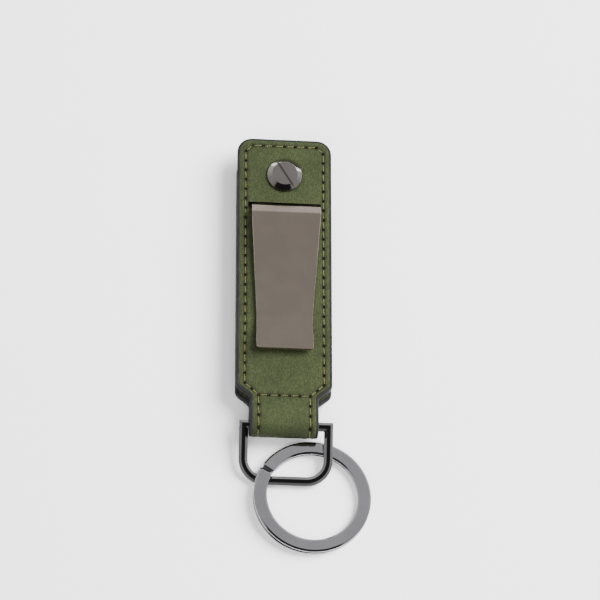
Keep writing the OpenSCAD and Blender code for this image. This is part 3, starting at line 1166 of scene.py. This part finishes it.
class NodeTree(NodeWork):
    """A Geometry Nodes tree with named inputs."""

    def __init__(self, name: str, inputs: dict[str, str]) -> None:
        """Makes the tree.

        Args:
            name: The tree's name.
            inputs: Name and kind of each input after the geometry.
        """
        super().__init__(bpy.data.node_groups.new(name, "GeometryNodeTree"))
        interface = self.tree.interface
        interface.new_socket("Geometry", in_out="INPUT", socket_type="NodeSocketGeometry")
        interface.new_socket("Geometry", in_out="OUTPUT", socket_type="NodeSocketGeometry")
        for label, kind in inputs.items():
            interface.new_socket(label, in_out="INPUT", socket_type="NodeSocket" + kind)
        self.given = self.tree.nodes.new("NodeGroupInput").outputs
        self.result = self.tree.nodes.new("NodeGroupOutput").inputs[0]

    def keep(self, geometry: Socket, name: str, value: Socket) -> Socket:
        """Keeps a number on the geometry's points.

        Args:
            geometry: The geometry.
            name: The number's name.
            value: The number.

        Returns:
            The geometry with it.
        """
        inputs = {"Geometry": geometry, "Name": name, "Value": value}
        kind = "GeometryNodeStoreNamedAttribute"
        return self.node(kind, inputs, data_type="FLOAT", domain="POINT").outputs[0]

    def uneven(self) -> Socket:
        """A random factor about 1, from the inputs Unevenness and Seed.

        Returns:
            The factor.
        """
        made = self.node("FunctionNodeRandomValue", {"Seed": self.given["Seed"]}, data_type="FLOAT")
        spread = self.given["Unevenness"]
        self.feed(made, {2: self.math("SUBTRACT", 1.0, spread), 3: self.math("ADD", 1.0, spread)})
        return made.outputs[1]

    def close(self, geometry: Socket, finish: Socket) -> None:
        """Ends the tree in Realize Instances and Set Material.

        Args:
            geometry: The last geometry.
            finish: Its material.
        """
        real = self.node("GeometryNodeRealizeInstances", {"Geometry": geometry})
        smooth = self.node("GeometryNodeSetShadeSmooth", {"Geometry": real.outputs[0]})
        dressed = self.node("GeometryNodeSetMaterial", {"Geometry": smooth.outputs[0], "Material": finish})
        self.tree.links.new(dressed.outputs[0], self.result)

    def use_on(self, piece: bpy.types.Object, values: dict[str, object]) -> bpy.types.Object:
        """Runs the tree on a piece with values for its named inputs, and keeps the plain mesh.

        Args:
            piece: The piece.
            values: A value for each named input.

        Returns:
            The piece.
        """
        made = piece.modifiers.new(self.tree.name, "NODES")
        made.node_group = self.tree
        sockets = {s.name: s.identifier for s in self.tree.interface.items_tree if s.in_out == "INPUT"}
        for label, value in values.items():
            made[sockets[label]] = value
        return bake(piece)


@dataclass(frozen=True)
class ThreadWork:
    """The sewn threads and their needle holes."""

    strip: Strip
    seams: SeamPlan
    thread_w: float = 0.26
    rise: float = -0.07
    hump: float = 0.16
    hump_at: float = 0.74
    hump_w: float = 0.1
    lean: float = 0.07
    ends: tuple[Pair, ...] = ((0.5, -0.5), (0.53, -0.34), (0.57, -0.2), (0.63, -0.08), (0.76, -0.02))
    middle: int = 5
    sides: int = 8
    hole_w: float = 0.94
    hole_depth: float = 0.07
    hole_sides: int = 12
    rim_samples: int = 8
    cup: tuple[Triple, ...] = (
        (0.5, 0.012, 0.0), (0.43, 0.02, 0.0), (0.36, 0.0, 0.3), (0.22, 0.0, 0.8), (0.02, 0.0, 1.0),
        (0.02, -0.1, 1.0), (0.5, -0.1, 0.0),
    )
    thread_uneven: float = 0.12
    hole_uneven: float = 0.15
    seed: int = 7

    def path(self, stitch: Stitch) -> Array:
        """The middle line of one thread, out of one hole and into the next.

        Args:
            stitch: The stitch.

        Returns:
            The line's points.
        """
        start, end = np.array(stitch.start), np.array(stitch.end)
        run = end - start
        length = float(np.linalg.norm(run))
        near, drop = (np.array(column) for column in zip(*self.ends))
        inner = np.linspace(near[-1], length - near[-1], self.middle + 2)[1:-1]
        t = np.concatenate([near, inner, length - near[::-1]]) / length
        sunk = np.concatenate([drop, np.zeros(self.middle), drop[::-1]])
        side = np.array([run[1], -run[0]]) / length
        spots = start + t[:, None] * run + side * (self.lean * (2 * t - 1))[:, None]
        arch = self.rise + sunk + self.hump * bell(t - self.hump_at, self.hump_w)
        level = self.strip.strap_t + arch if stitch.face is Face.OUTER else -arch
        return self.strip.place(spots[:, 1], spots[:, 0], level)

    def lines(self) -> bpy.types.Object:
        """All the threads' middle lines as one mesh of edges.

        Returns:
            The object with the lines.
        """
        paths = [self.path(s) for s in self.seams.stitches()]
        spots = np.concatenate(paths)
        points = len(paths[0])
        edges = [(i, i + 1) for i in range(len(spots) - 1) if (i + 1) % points]
        mesh = bpy.data.meshes.new("sewn_thread")
        mesh.from_pydata((spots * MM).tolist(), edges, [])
        return add_object("sewn_thread", mesh)

    def thread_tree(self) -> NodeTree:
        """The tree that winds a round thread about each line and keeps its two coordinates.

        Returns:
            The tree.
        """
        tree = NodeTree("lay_thread", {"Thread Width": "Float", "Sides": "Int", **SHARED_INPUTS})
        given = tree.given
        curve = tree.node("GeometryNodeMeshToCurve", {"Mesh": given["Geometry"]}).outputs[0]
        run = tree.node("GeometryNodeSplineParameter").outputs["Length"]
        uneven = tree.uneven()
        line = tree.node(
            "GeometryNodeSetCurveRadius", {"Curve": tree.keep(curve, "along", run), "Radius": uneven}
        )
        half = tree.math("MULTIPLY", given["Thread Width"], 0.5)
        ring = tree.node("GeometryNodeCurvePrimitiveCircle", {"Resolution": given["Sides"], "Radius": half})
        turn = tree.node("GeometryNodeSplineParameter").outputs["Factor"]
        section = tree.keep(ring.outputs[0], "around", turn)
        skin = tree.node(
            "GeometryNodeCurveToMesh", {"Curve": line.outputs[0], "Profile Curve": section, "Fill Caps": True}
        )
        if "Scale" in skin.inputs:
            tree.feed(skin, {"Scale": uneven})
        tree.close(skin.outputs[0], given["Finish"])
        return tree

    def hole_marks(self) -> bpy.types.Object:
        """One point for each needle hole, with the way that its face looks.

        Returns:
            The object with the points.
        """
        marks = {}
        for stitch in self.seams.stitches():
            for spot in (stitch.start, stitch.end):
                marks[(round(spot[0], 2), round(spot[1], 2), stitch.face)] = stitch.face
        keys = list(marks)
        x, u = np.array([k[0] for k in keys]), np.array([k[1] for k in keys])
        out = np.array([marks[k].value for k in keys], float)
        rims = []
        for turn in np.linspace(0, 2 * math.pi, self.rim_samples, endpoint=False):
            reach = self.hole_w / 2 * np.array([math.cos(turn), math.sin(turn)])
            rims.append(Relief(self.strip, self.seams).height(x + reach[0], u + reach[1])[0])
        level = np.where(out > 0, self.strip.strap_t + np.mean(rims, 0), 0.0)
        spots = self.strip.place(u, x, level)
        looks = self.strip.normal(u, x) * out[:, None]
        mesh = bpy.data.meshes.new("needle_holes")
        mesh.from_pydata((spots * MM).tolist(), [], [])
        kept = mesh.attributes.new("look", "FLOAT_VECTOR", "POINT")
        kept.data.foreach_set("vector", looks.astype(np.float32).ravel())
        return add_object("needle_holes", mesh)

    def hole_cup(self) -> bpy.types.Object:
        """The cup of one needle hole, one unit wide, as the shape that is repeated; its near-black finish is
        painted shade in the hole.

        Returns:
            The cup.
        """
        ratio = self.hole_depth / self.hole_w
        profile = np.array([(radius, lift - share * ratio) for radius, lift, share in self.cup])
        points, faces = turned(profile, (0.0, 0.0, 0.0), self.hole_sides, looped=True)
        return make_piece("needle_cup", (points / MM, faces), NEEDLE_HOLE_SHADE.build(), smooth_below=180.0)

    def hole_tree(self) -> NodeTree:
        """The tree that sets a cup into each needle hole.

        Returns:
            The tree.
        """
        tree = NodeTree("set_needle_holes", {"Cup": "Object", "Hole Width": "Float", **SHARED_INPUTS})
        given = tree.given
        look = tree.node("GeometryNodeInputNamedAttribute", {"Name": "look"}, data_type="FLOAT_VECTOR")
        turn = tree.node("FunctionNodeAlignRotationToVector", {"Vector": look.outputs[0]}, axis="Z")
        size = tree.math("MULTIPLY", tree.uneven(), given["Hole Width"])
        cup = tree.node("GeometryNodeObjectInfo", {"Object": given["Cup"], "As Instance": True})
        spread = tree.node(
            "GeometryNodeInstanceOnPoints",
            {
                "Points": given["Geometry"], "Instance": cup.outputs["Geometry"],
                "Rotation": turn.outputs[0], "Scale": size,
            },
        )
        tree.close(spread.outputs[0], given["Finish"])
        return tree

    def build(self) -> None:
        """Builds the threads and the needle holes."""
        shared = {"Seed": self.seed}
        thread = {"Thread Width": self.thread_w * MM, "Sides": self.sides, "Unevenness": self.thread_uneven}
        sewn = self.thread_tree().use_on(self.lines(), {**thread, **shared, "Finish": THREAD.build()})
        dress(sewn, Body.STRAP, Slot.THREAD, ["front_seam", "neck_seam", "back_seam"])
        cup = self.hole_cup()
        shared["Finish"] = cup.data.materials[0]
        hole = {"Cup": cup, "Hole Width": self.hole_w * MM, "Unevenness": self.hole_uneven}
        holes = self.hole_tree().use_on(self.hole_marks(), {**hole, **shared})
        bpy.data.objects.remove(cup)
        dress(holes, Body.STRAP, Slot.LEATHER)


# ---------------------------------------------------------------- metal pieces


@dataclass(frozen=True)
class MoneyClip:
    """The bent spring strip: tab under the leather, sloping rise, fold, leaf, crease and lip."""

    thick: float = 0.8
    tab_end: Pair = (5.2, 4.55)
    bend: Pair = (-5.947, 4.55)
    sill: Pair = (-9.1, 6.68)
    brow: Pair = (-9.75, 7.45)
    fold: Pair = (-12.1, 8.7)
    bow: Pair = (-30.0, 7.62)
    crease: Pair = (-41.9, 7.38)
    tip: Pair = (-52.1, 8.7)
    top_w: float = 18.6
    waist_w: float = 15.0
    tip_w: float = 15.2
    tip_r: float = 1.1
    tab_r: float = 3.0
    hole_r: float = 2.5
    bend_r: tuple[float, ...] = (1.4, 0.5, 0.5, 0.8, 300.0, 3.0)
    bend_steps: int = 6
    edge_r: float = 0.09
    step: float = 0.7
    end_steps: tuple[float, ...] = (0.0, 0.06, 0.16, 0.32, 0.55, 0.85)
    end_room: float = 0.1
    hinge_reach: float = 0.7
    skew: float = 0.42
    skew_marks: tuple[float, ...] = (-52.1, -41.9, -9.0, -3.0, 5.2)
    skew_parts: tuple[float, ...] = (0.0, 0.0, 1.0, 0.0, 0.0)

    def path(self) -> Array:
        """The strip's middle line in y and z, with round bends.

        Returns:
            The line's points.
        """
        lower = (self.bow, self.crease, self.tip)
        corners = np.array([self.tab_end, self.bend, self.sill, self.brow, self.fold, *lower])
        made = [corners[0]]
        for before, corner, after, radius in zip(corners, corners[1:], corners[2:], self.bend_r):
            made += [*fillet(corner, unit(before - corner), unit(after - corner), radius, self.bend_steps)[0]]
        made.append(corners[-1])
        return self.spaced(np.array(made))

    def spaced(self, line: Array) -> Array:
        """Adds stations on the long flats and closer ones at both ends.

        Args:
            line: The bent line.

        Returns:
            The line with its new stations.
        """
        made = []
        for start, end in zip(line, line[1:]):
            count = max(1, round(float(np.linalg.norm(end - start)) / self.step))
            made += [start + (end - start) * i / count for i in range(count)]
        made.append(line[-1])
        line = np.array(made)
        ends = np.array(self.end_steps)
        first = line[0] + unit(line[1] - line[0]) * ends[:, None]
        last = line[-1] + unit(line[-2] - line[-1]) * ends[::-1, None]
        clear = ends[-1] + self.end_room
        apart = [np.linalg.norm(line - line[i], axis=1) > clear for i in (0, -1)]
        return np.concatenate([first, line[apart[0] & apart[1]], last])

    def half_width(self, y: float, to_tip: float, to_tab: float) -> float:
        """Half the strip's width at y, with its corners rounded off.

        Args:
            y: Place along the clip.
            to_tip: Distance to the tip.
            to_tab: Distance to the tab's end.

        Returns:
            Half the width.
        """
        marks = [self.tip[0], self.crease[0], self.fold[0], self.tab_end[0]]
        widths = [self.tip_w / 2, self.waist_w / 2, self.top_w / 2, self.top_w / 2]
        width = float(np.interp(y, marks, widths))
        for left, radius in ((to_tip, self.tip_r), (to_tab, self.tab_r)):
            over = max(0.0, radius - left)
            width -= radius - math.sqrt(radius**2 - over**2)
        return width

    def build(self) -> bpy.types.Object:
        """Builds the strip as one continuous piece that bends at its fold.

        Returns:
            The piece.
        """
        line = self.path()
        steps = np.linalg.norm(np.diff(line, axis=0), axis=1)
        run = np.concatenate([[0], np.cumsum(steps)])
        slopes = np.gradient(line, run, axis=0)
        rings = []
        for spot, slope, passed in zip(line, slopes, run):
            across = np.array([-slope[1], slope[0]]) / np.linalg.norm(slope)
            to_tip, to_tab = run[-1] - passed, passed
            half = self.half_width(spot[0], to_tip, to_tab)
            nearest = min(to_tip, to_tab, self.edge_r)
            thin = self.edge_r - math.sqrt(self.edge_r**2 - (self.edge_r - nearest) ** 2)
            half_t = self.thick / 2 - thin
            wide = half - thin
            corners = [(wide, half_t), (-wide, half_t), (-wide, -half_t), (wide, -half_t)]
            section = rounded(corners, self.edge_r, guard=0.05, steps=3)
            level = spot + section[:, 1:] * -across
            aside = self.skew * float(np.interp(spot[0], self.skew_marks, self.skew_parts))
            rings.append(np.stack([section[:, 0] + aside, level[:, 0], level[:, 1]], -1))
        piece = make_piece("money_clip_strip", loft(np.stack(rings)), CLIP_METAL.build(), smooth_below=50.0)
        cut(piece, [drill(self.hole_r)])
        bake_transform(piece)
        return dress(piece, None, Slot.CLIP, ["clip_anchor", "clip_leaf"])


@dataclass(frozen=True)
class BindingPair:
    """The slotted binding screw on the front and its post on the back."""

    head_r: float = 4.7
    flat_r: float = 3.4
    head_h: float = 1.5
    rim_h: float = 0.45
    back_h: float = 2.2
    back_rim_h: float = 0.9
    seat_z: float = 6.9
    back_z: float = 2.2
    slot_w: float = 0.6
    slot_d: float = 0.8
    slot_turn: float = -58.6
    slot_soft: float = 0.05
    shank_r: float = 1.5
    shank_h: float = 4.1
    barrel_r: float = 2.4
    barrel_h: float = 4.6
    fillet: float = 0.09
    middle_r: float = 0.02
    sides: int = 160

    def head(self, height: float, rim: float) -> Array:
        """Rounded profile of a bevelled head from the middle of its flat out to its seat.

        Args:
            height: The head's height.
            rim: Height of the bevel's foot.

        Returns:
            Points of radius and height.
        """
        corners = [(-self.head_r, 0), (-self.head_r, rim), (-self.flat_r, height), (self.flat_r, height)]
        corners += [(self.head_r, rim), (self.head_r, 0)]
        whole = rounded(corners, self.fillet, guard=0.04, steps=4)
        half = whole[whole[:, 0] > 0]
        order = half[np.argsort(-np.arctan2(half[:, 1] + 0.01, half[:, 0]))]
        return np.concatenate([[(self.middle_r, height)], order])

    def screw(self) -> bpy.types.Object:
        """The screw with its slot and shank.

        Returns:
            The piece.
        """
        profile = np.concatenate(
            [self.head(self.head_h, self.rim_h), [(self.shank_r, 0.0), (self.shank_r, -self.shank_h)]]
        )
        shape = turned(profile, (0.0, 0.0, self.seat_z), self.sides)
        piece = make_piece("screw_head_slotted", shape, SCREW_METAL.build())
        turn = math.radians(self.slot_turn)
        along = np.array([math.cos(turn), math.sin(turn), 0.0])
        half, soft = self.slot_w / 2, self.slot_soft
        low, top = self.head_h - self.slot_d, self.head_h
        outline = np.array(
            [
                (-half, low), (half, low), (half, top - soft), (half + soft, top), (half + soft, top + 1),
                (-half - soft, top + 1), (-half - soft, top), (-half, top - soft),
            ]
        )
        up = np.array([0.0, 0.0, 1.0])
        cut(piece, [prism(outline, np.array([0.0, 0.0, self.seat_z]), along, up, self.head_r * 3)])
        return dress(piece, Body.STRAP, Slot.SCREW, ["binding_screw"])

    def post(self) -> bpy.types.Object:
        """The post with its bevelled head downwards.

        Returns:
            The piece.
        """
        head = self.head(self.back_h, self.back_rim_h) * [1, -1]
        profile = np.concatenate([head, [(self.barrel_r, 0.0), (self.barrel_r, self.barrel_h)]])
        shape = turned(profile, (0.0, 0.0, self.back_z), self.sides)
        piece = make_piece("post_head", shape, SCREW_METAL.build())
        return dress(piece, Body.STRAP, Slot.SCREW, ["binding_post"])

    def build(self) -> None:
        """Builds both pieces."""
        self.screw()
        self.post()


@dataclass(frozen=True)
class DeeRing:
    """The D-ring: bevelled bar, mitred upper corners and bent lower ones."""

    centre: Triple = (0.7, -72.4, 4.55)
    dip: float = 13.4
    half_w: float = 11.2
    reach: float = 14.64
    low_r: float = 5.7
    bar_w: float = 2.4
    bar_t: float = 1.6
    flat_w: float = 0.96
    edge_h: float = 0.6
    fillet: float = 0.07
    corner_steps: int = 24

    def stations(self) -> list[tuple[Array, Array]]:
        """Points of the bar's middle line with the outward step of each, once round.

        Returns:
            The points, each with its step.
        """
        x, low = self.half_w, self.reach
        made = [(np.array([-x, 0.0]), np.array([-1.0, 1.0])), (np.array([x, 0.0]), np.array([1.0, 1.0]))]
        for side, start, end in ((1, 0.0, -90.0), (-1, -90.0, -180.0)):
            centre = np.array([side * (x - self.low_r), self.low_r - low])
            for angle in np.radians(np.linspace(start, end, self.corner_steps)):
                out = np.array([math.cos(angle), math.sin(angle)])
                made.append((centre + out * self.low_r, out))
        return made

    def build(self) -> bpy.types.Object:
        """Builds the ring in its tilted rest position.

        Returns:
            The piece.
        """
        half_t, half_e = self.bar_t / 2, self.edge_h / 2
        half_f, half_w = self.flat_w / 2, self.bar_w / 2
        corners = [
            (half_f, half_t), (half_w, half_e), (half_w, -half_e), (half_f, -half_t),
            (-half_f, -half_t), (-half_w, -half_e), (-half_w, half_e), (-half_f, half_t),
        ]
        section = rounded(corners, self.fillet, guard=0.03, steps=3)
        rings = []
        for spot, out in self.stations():
            flat = spot + section[:, :1] * out
            rings.append(np.concatenate([flat, section[:, 1:]], 1))
        points, faces = loft(np.stack(rings), looped=True)
        tilt = np.array(Matrix.Rotation(math.radians(self.dip), 3, "X"))
        points = points @ tilt.T + np.array(self.centre)
        piece = make_piece("dee_ring_bar", (points, faces), DEE_METAL.build())
        return dress(piece, Body.DEE, Slot.BLACK, ["d_ring"])


@dataclass(frozen=True)
class SplitRing:
    """The flat split ring: two coils, wedged open where the D-ring passes between them."""

    centre: Triple = (7.8, -90.9, 0.0)
    mid_r: float = 13.75
    wire_w: float = 3.5
    wire_t: float = 0.95
    flat_w: float = 2.5
    edge_h: float = 0.35
    coil_gap: float = 0.06
    lift: float = 1.5
    end_lift: float = 0.5
    low_end: float = -188.0
    jog_start: float = 141.0
    jog_end: float = 155.5
    lead: float = 4.0
    flat_from: float = 300.0
    bend_from: float = 459.0
    end: float = 507.0
    fillet: float = 0.14
    step: float = 1.0
    end_steps: tuple[float, ...] = (0.0, 0.08, 0.2, 0.4, 0.7)
    end_shrink: float = 0.1
    end_squeeze: Pair = (0.4, 2.0)

    def height(self, angle: float) -> float:
        """Height of the wire's underside at an angle along both coils.

        Args:
            angle: Angle in degrees, from the lower end to the upper one.

        Returns:
            The height.
        """
        upper = self.wire_t + self.coil_gap
        top = upper + self.lift
        if angle <= self.jog_start:
            return 0.0
        if angle <= self.jog_end:
            return top * ease((angle - self.jog_start) / (self.jog_end - self.jog_start))
        full = self.jog_end + self.lead
        if angle <= self.flat_from:
            return upper + self.lift * ease((self.flat_from - angle) / (self.flat_from - full))
        if angle <= self.bend_from:
            return upper
        return upper + self.end_lift * ((angle - self.bend_from) / (self.end - self.bend_from)) ** 2

    def build(self) -> bpy.types.Object:
        """Builds the ring as one swept wire with rounded ends.

        Returns:
            The piece.
        """
        half_w, half_f = self.wire_w / 2, self.flat_w / 2
        low, high = (self.wire_t - self.edge_h) / 2, (self.wire_t + self.edge_h) / 2
        corners = [
            (-half_f, 0), (half_f, 0), (half_w, low), (half_w, high),
            (half_f, self.wire_t), (-half_f, self.wire_t), (-half_w, high), (-half_w, low),
        ]
        section = rounded(corners, self.fillet, guard=0.03, steps=3)
        middle = np.array([0.0, self.wire_t / 2])
        count = round((self.end - self.low_end) / self.step)
        ends = np.array(self.end_steps)
        angles = np.linspace(self.low_end, self.end, count + 1)
        angles = np.concatenate([self.low_end + ends, angles[2:-2], self.end - ends[::-1]])
        rings = []
        for angle in angles:
            away = min(angle - self.low_end, self.end - angle)
            shrink = self.end_shrink * max(0.0, 1 - away / self.end_steps[-1]) ** 2
            shape = middle + (section - middle) * (1 - shrink * np.array(self.end_squeeze))
            radius = self.mid_r + shape[:, 0]
            turn = math.radians(angle)
            level = shape[:, 1] + self.height(float(angle))
            rings.append(np.stack([radius * math.cos(turn), radius * math.sin(turn), level], -1))
        points, faces = loft(np.stack(rings))
        shape = points + np.array(self.centre), faces
        piece = make_piece("split_ring_wire", shape, RING_METAL.build(), smooth_below=50.0)
        return dress(piece, Body.SPLIT_RING, Slot.RING, ["key_ring"])


# ---------------------------------------------------------------- camera, floor and light


@dataclass(frozen=True)
class Studio:
    """Camera at the photograph's angle, a pale floor and a light tent with a dark opening for the lens."""

    azimuth: float = -11.496
    elevation: float = 64.623
    roll: float = 12.623
    distance: float = 950.0
    target: Triple = (4.6, -34.706, 2.2)
    lens: float = 213.0
    sensor: float = 36.0
    clip: Pair = (0.01, 20.0)
    floor_half: float = 1500.0
    floor_tone: float = 0.9
    floor_drift: float = 0.995
    floor_roughness: float = 0.6
    key_at: Triple = (960.0, 430.0, 880.0)
    key_size: float = 1200.0
    key_power: float = 101.0
    fill_at: Triple = (-300.0, -1100.0, 1300.0)
    fill_size: float = 1800.0
    fill_power: float = 41.0
    dark_axis: Triple = (-0.05, -0.57, 0.82)
    tent: float = 1.0
    opening: tuple[Pair, ...] = (
        (0.0, 0.02), (36.0, 0.03), (41.0, 0.36), (56.0, 0.47), (75.0, 0.46), (90.0, 0.67), (110.0, 0.9),
        (180.0, 1.2),
    )

    def view(self) -> Array:
        """Unit vector from the target towards the camera.

        Returns:
            The vector.
        """
        turn, rise = math.radians(self.azimuth), math.radians(self.elevation)
        flat = math.cos(rise)
        return np.array([math.sin(turn) * flat, -math.cos(turn) * flat, math.sin(rise)])

    def camera(self) -> None:
        """Makes the camera."""
        back = self.view()
        turn = math.radians(self.azimuth)
        level = np.array([math.cos(turn), math.sin(turn), 0.0])
        upright = np.cross(back, level)
        roll = math.radians(self.roll)
        right = math.cos(roll) * level + math.sin(roll) * upright
        top = np.cross(back, right)
        spot = (np.array(self.target) + back * self.distance) * MM
        made = add_object("photo_camera", bpy.data.cameras.new("photo_camera"))
        made.data.lens = self.lens
        made.data.sensor_width = self.sensor
        made.data.clip_start, made.data.clip_end = self.clip
        columns = [Vector(right), Vector(top), Vector(back)]
        made.matrix_world = Matrix.Translation(Vector(spot)) @ Matrix(columns).transposed().to_4x4()
        bpy.context.scene.camera = made

    def floor(self) -> None:
        """Makes the pale floor that the part lies on."""
        half = self.floor_half * MM
        mesh = bpy.data.meshes.new("floor")
        corners = [(-half, -half, 0), (half, -half, 0), (half, half, 0), (-half, half, 0)]
        mesh.from_pydata(corners, [], [(0, 1, 2, 3)])
        made = add_object("floor", mesh)
        s = Shader("pale_floor")
        tone = self.floor_tone
        grain = s.noise(s.place, 40.0, 2.0)
        colour = s.mix(s.remap(grain, 0.3, 0.7, 0.0, 1.0), (tone,) * 3, (tone * self.floor_drift,) * 3)
        mesh.materials.append(s.finish(colour, self.floor_roughness, specular=0.2))

    def light(self) -> None:
        """Makes the tent's light and the soft key light from the upper right."""
        world = bpy.data.worlds.new("light_tent")
        bpy.context.scene.world = world
        world.use_nodes = True
        work = NodeWork(world.node_tree)
        sky = work.node("ShaderNodeTexCoord").outputs["Generated"]
        axis = Vector(self.dark_axis).normalized()
        toward = work.node("ShaderNodeVectorMath", {0: sky, 1: axis}, operation="DOT_PRODUCT")
        angle = work.math("ARCCOSINE", toward.outputs["Value"])
        ramp = work.node("ShaderNodeValToRGB", {0: work.math("DIVIDE", angle, math.pi)})
        stops = ramp.color_ramp.elements
        while len(stops) < len(self.opening):
            stops.new(0.5)
        for stop, (degrees, tone) in zip(stops, self.opening):
            stop.position = degrees / 180.0
            stop.color = (tone, tone, tone, 1.0)
        work.feed(world.node_tree.nodes["Background"], {"Color": ramp.outputs[0], "Strength": self.tent})
        key = self.lamp("key_softbox", self.key_at, self.key_size, self.key_power)
        fill = self.lamp("ceiling_fill", self.fill_at, self.fill_size, self.fill_power)
        for lamp in (key, fill):
            lamp.visible_glossy = False

    def lamp(self, name: str, at: Triple, size: float, power: float) -> bpy.types.Object:
        """Makes a round softbox that looks at the part.

        Args:
            name: The lamp's name.
            at: Where it hangs, in millimetres.
            size: Its diameter in millimetres.
            power: Its power in watts.

        Returns:
            The lamp.
        """
        light = bpy.data.lights.new(name, "AREA")
        light.shape = "DISK"
        light.size = size * MM
        light.energy = power
        light_spot = Vector(at) * MM
        made = add_object(name, light)
        made.location = light_spot
        made.rotation_euler = (Vector(self.target) * MM - light_spot).to_track_quat("-Z", "Y").to_euler()
        return made

    def build(self) -> None:
        """Sets up the whole studio."""
        self.camera()
        self.floor()
        self.light()
        log.info("studio: camera, floor and lights")


def main() -> None:
    """Builds the studio and every piece."""
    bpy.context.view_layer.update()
    Studio().build()
    Strap().build()
    MoneyClip().build()
    BindingPair().build()
    DeeRing().build()
    SplitRing().build()


if __name__ == "__main__":
    main()
